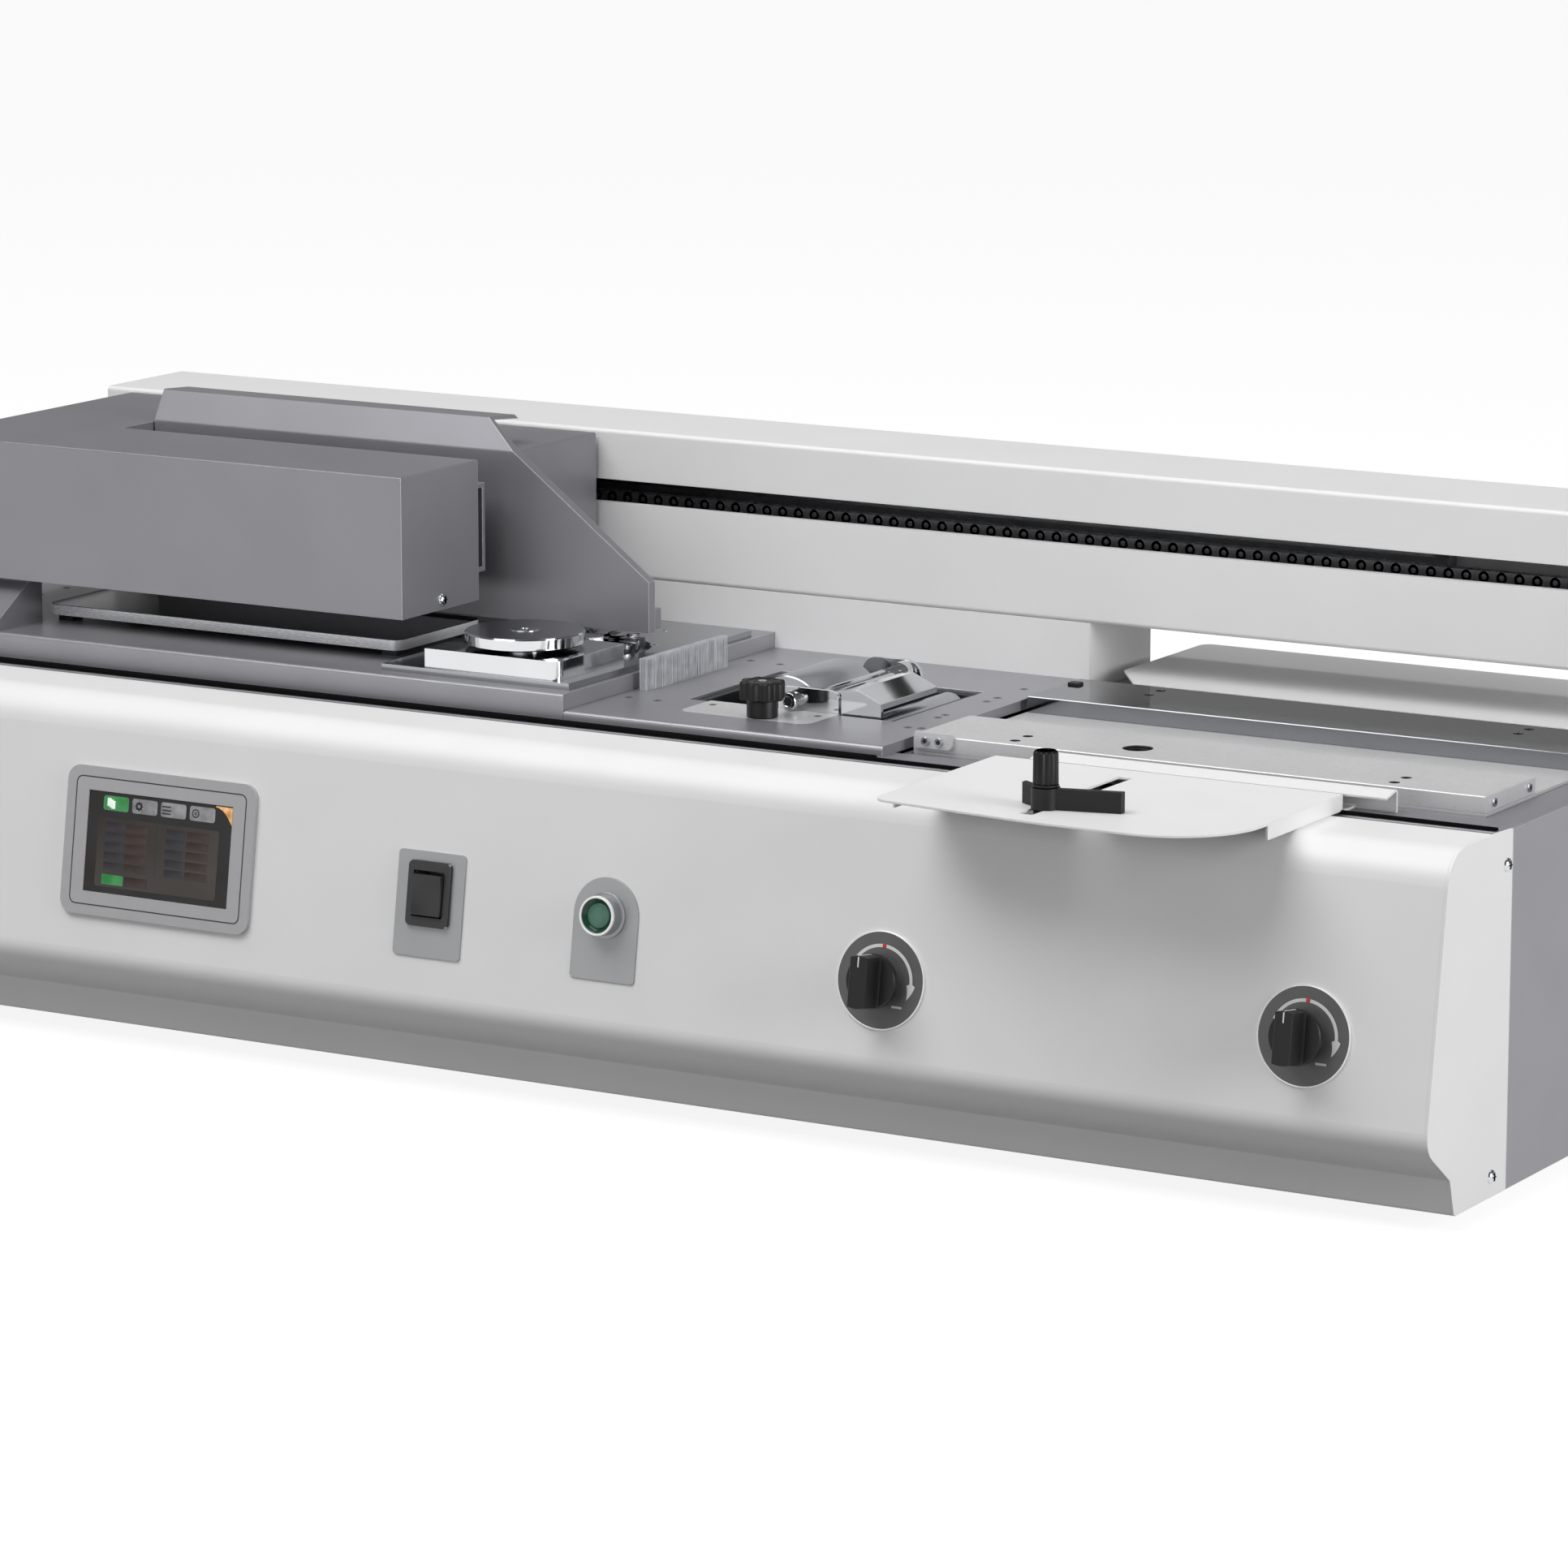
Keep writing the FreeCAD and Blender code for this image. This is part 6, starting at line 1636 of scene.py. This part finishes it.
@dataclass
class Back(Assembly):
    """Lead gland on the back wall.

    Attributes:
        nut_radius: radius of the ribbed nut.
        length: length of nut and nose.
    """

    nut_radius: float = 9 * MM
    length: float = 16 * MM

    def dress(self) -> None:
        """Ribbed gland nut with a rounded nose round the lead's hole."""
        low, high = corners("cable_gland")
        mid = (low + high) / 2
        nut = carried(lobed(self.nut_radius, 0.9 * MM, 12, 96, 1.0),
                      mm((1, 0.0), (0, 0.8), (0, 7.4), (1, 8)))
        nose = turned(mm((8.0, 7.9), (7.9, 11), (7.0, 14.6), (6.0, 15.8), (3.6, 15.8), (3.5, 8.2)))
        at = facing("+y", (mid[0], high[1] - self.length, mid[2]))
        piece("gland_nut", joined([nut, nose]).moved(at), BLACK_KNOB, Body.BASE, 40.0, ["cable_gland"])


@dataclass
class Studio:
    """Camera, soft lights and the pale floor.

    Attributes:
        camera_place: place of the camera in metres.
        yaw: its turn about the upright axis, in degrees.
        pitch: how far it looks down, in degrees.
        lens: its focal length in millimetres.
        sensor: width of its sensor in millimetres.
        target_z: height of the point that the lights look at.
    """

    camera_place: tuple[float, float, float] = (2.244, -3.73388, 1.05474)
    yaw: float = 30.55
    pitch: float = 11.34
    lens: float = 152.08
    sensor: float = 36.0
    target_z: float = 0.15

    def camera(self) -> None:
        """Camera solved from the photograph's vanishing lines."""
        data = bpy.data.cameras.new("photo_camera")
        data.lens = self.lens
        data.sensor_width = self.sensor
        made = linked("photo_camera", data)
        made.location = self.camera_place
        made.rotation_euler = (math.radians(90 - self.pitch), 0.0, math.radians(self.yaw))
        bpy.context.scene.camera = made

    def light(self, name: str, place: tuple[float, float, float], size: tuple[float, float],
              watts: float) -> None:
        """Rectangular soft light that looks at the machine.

        Args:
            name: name of the light.
            place: its centre in metres.
            size: its width and height in metres.
            watts: its power.
        """
        data = bpy.data.lights.new(name, "AREA")
        data.shape = "RECTANGLE"
        data.size = size[0]
        data.size_y = size[1]
        data.energy = watts
        made = linked(name, data)
        made.location = place
        away = np.array(place) - np.array([0.0, 0.0, self.target_z])
        away /= np.linalg.norm(away)
        made.rotation_euler = (math.acos(away[2]), 0.0, math.atan2(away[1], away[0]) + math.pi / 2)

    def background_rays(self, tree: bpy.types.NodeTree) -> bpy.types.NodeSocket:
        """Share of rays that see the plain background: camera, mirror and glass rays.

        Args:
            tree: node tree that takes the nodes.

        Returns:
            1 for such a ray, 0 for any other.
        """
        rays = add_node(tree, "ShaderNodeLightPath").outputs
        sharp = add_node(tree, "ShaderNodeMath", None, {0: rays["Is Glossy Ray"],
                                                        1: rays["Is Transmission Ray"]},
                         operation="MAXIMUM")
        both = add_node(tree, "ShaderNodeMath", None, {0: rays["Is Camera Ray"], 1: sharp.outputs[0]},
                        operation="MAXIMUM")
        return both.outputs[0]

    def world(self) -> None:
        """White to the camera, a bright horizon under a dim sky to mirrors, a soft sky to the rest."""
        world = bpy.data.worlds.new("studio")
        bpy.context.scene.world = world
        tree = cleared(world)
        rays = add_node(tree, "ShaderNodeLightPath")
        place = add_node(tree, "ShaderNodeTexCoord").outputs["Generated"]
        height = add_node(tree, "ShaderNodeSeparateXYZ", None, {"Vector": place}).outputs["Z"]
        ramps = ((-0.2, 0.8, 0.12, 0.42), (0.0, 0.09, 1.0, 0.34), (0.09, 0.8, 1.0, 0.3))
        soft, low, high = [
            add_node(tree, "ShaderNodeMapRange", {"From Min": start, "From Max": stop, "To Min": first,
                                                  "To Max": last}, {"Value": height}).outputs[0]
            for start, stop, first, last in ramps]
        mirror = add_node(tree, "ShaderNodeMath", None, {0: low, 1: high}, operation="MULTIPLY")
        strength = add_node(tree, "ShaderNodeMix", None, {0: self.background_rays(tree), 2: soft,
                                                          3: mirror.outputs[0]})
        seen = add_node(tree, "ShaderNodeMix", {3: 1.0}, {0: rays.outputs["Is Camera Ray"],
                                                          2: strength.outputs[0]})
        light = add_node(tree, "ShaderNodeBackground", None, {"Strength": seen.outputs[0]})
        add_node(tree, "ShaderNodeOutputWorld", None, {"Surface": light.outputs[0]})

    def floor(self) -> None:
        """Wide white floor that only hints at a shadow; a dull grey one for stray light."""
        data = bpy.data.meshes.new("floor")
        data.from_pydata([(-9, -7, 0), (9, -7, 0), (9, 9, 0), (-9, 9, 0)], [], [(0, 1, 2, 3)])
        made = linked("floor", data)
        paper = bpy.data.materials.new("backdrop_paper_white")
        tree = cleared(paper)
        matt = add_node(tree, "ShaderNodeBsdfDiffuse", {"Color": (0.16, 0.16, 0.16, 1)})
        glow = add_node(tree, "ShaderNodeEmission", {"Color": (1, 1, 1, 1), "Strength": 0.88})
        pale = add_node(tree, "ShaderNodeBsdfDiffuse", {"Color": (0.22, 0.22, 0.22, 1)})
        seen = add_node(tree, "ShaderNodeAddShader", None, {0: glow.outputs[0], 1: pale.outputs[0]})
        both = add_node(tree, "ShaderNodeMixShader", None,
                        {0: self.background_rays(tree), 1: matt.outputs[0], 2: seen.outputs[0]})
        add_node(tree, "ShaderNodeOutputMaterial", None, {"Surface": both.outputs[0]})
        data.materials.append(paper)

    def build(self) -> None:
        """Set up the whole studio."""
        bpy.context.scene.view_settings.view_transform = "Standard"
        self.camera()
        self.world()
        self.floor()
        self.light("key_softbox", (-0.8, -1.8, 3.2), (3.0, 2.2), 92)
        self.light("front_fill", (-0.6, -3.6, 0.9), (3.4, 1.6), 17)
        self.light("right_fill", (3.2, -0.4, 1.0), (1.4, 1.4), 56)
        self.light("top_strip", (0.0, 0.6, 2.6), (2.8, 0.5), 12)


def main() -> None:
    """Build the sub-assemblies in order."""
    logging.basicConfig(level=logging.INFO)
    panel = Panel()
    screws = Screws()
    Studio().build()
    coat(DIAL_FACE, "dial_plates")
    assemblies = (
        Casing(screws),
        Display(panel),
        Switches(panel),
        Dial(panel, "left_dial", Body.LEFT_DIAL, 245.4 * MM),
        Dial(panel, "right_dial", Body.RIGHT_DIAL, 539.1 * MM),
        Beam(),
        Carriage(screws),
        Milling(screws),
        Brush(),
        Glue(screws),
        Nip(screws),
        Tray(),
        Back(),
    )
    for assembly in assemblies:
        assembly.dress()
        LOG.info("built %s", type(assembly).__name__)


if __name__ == "__main__":
    main()
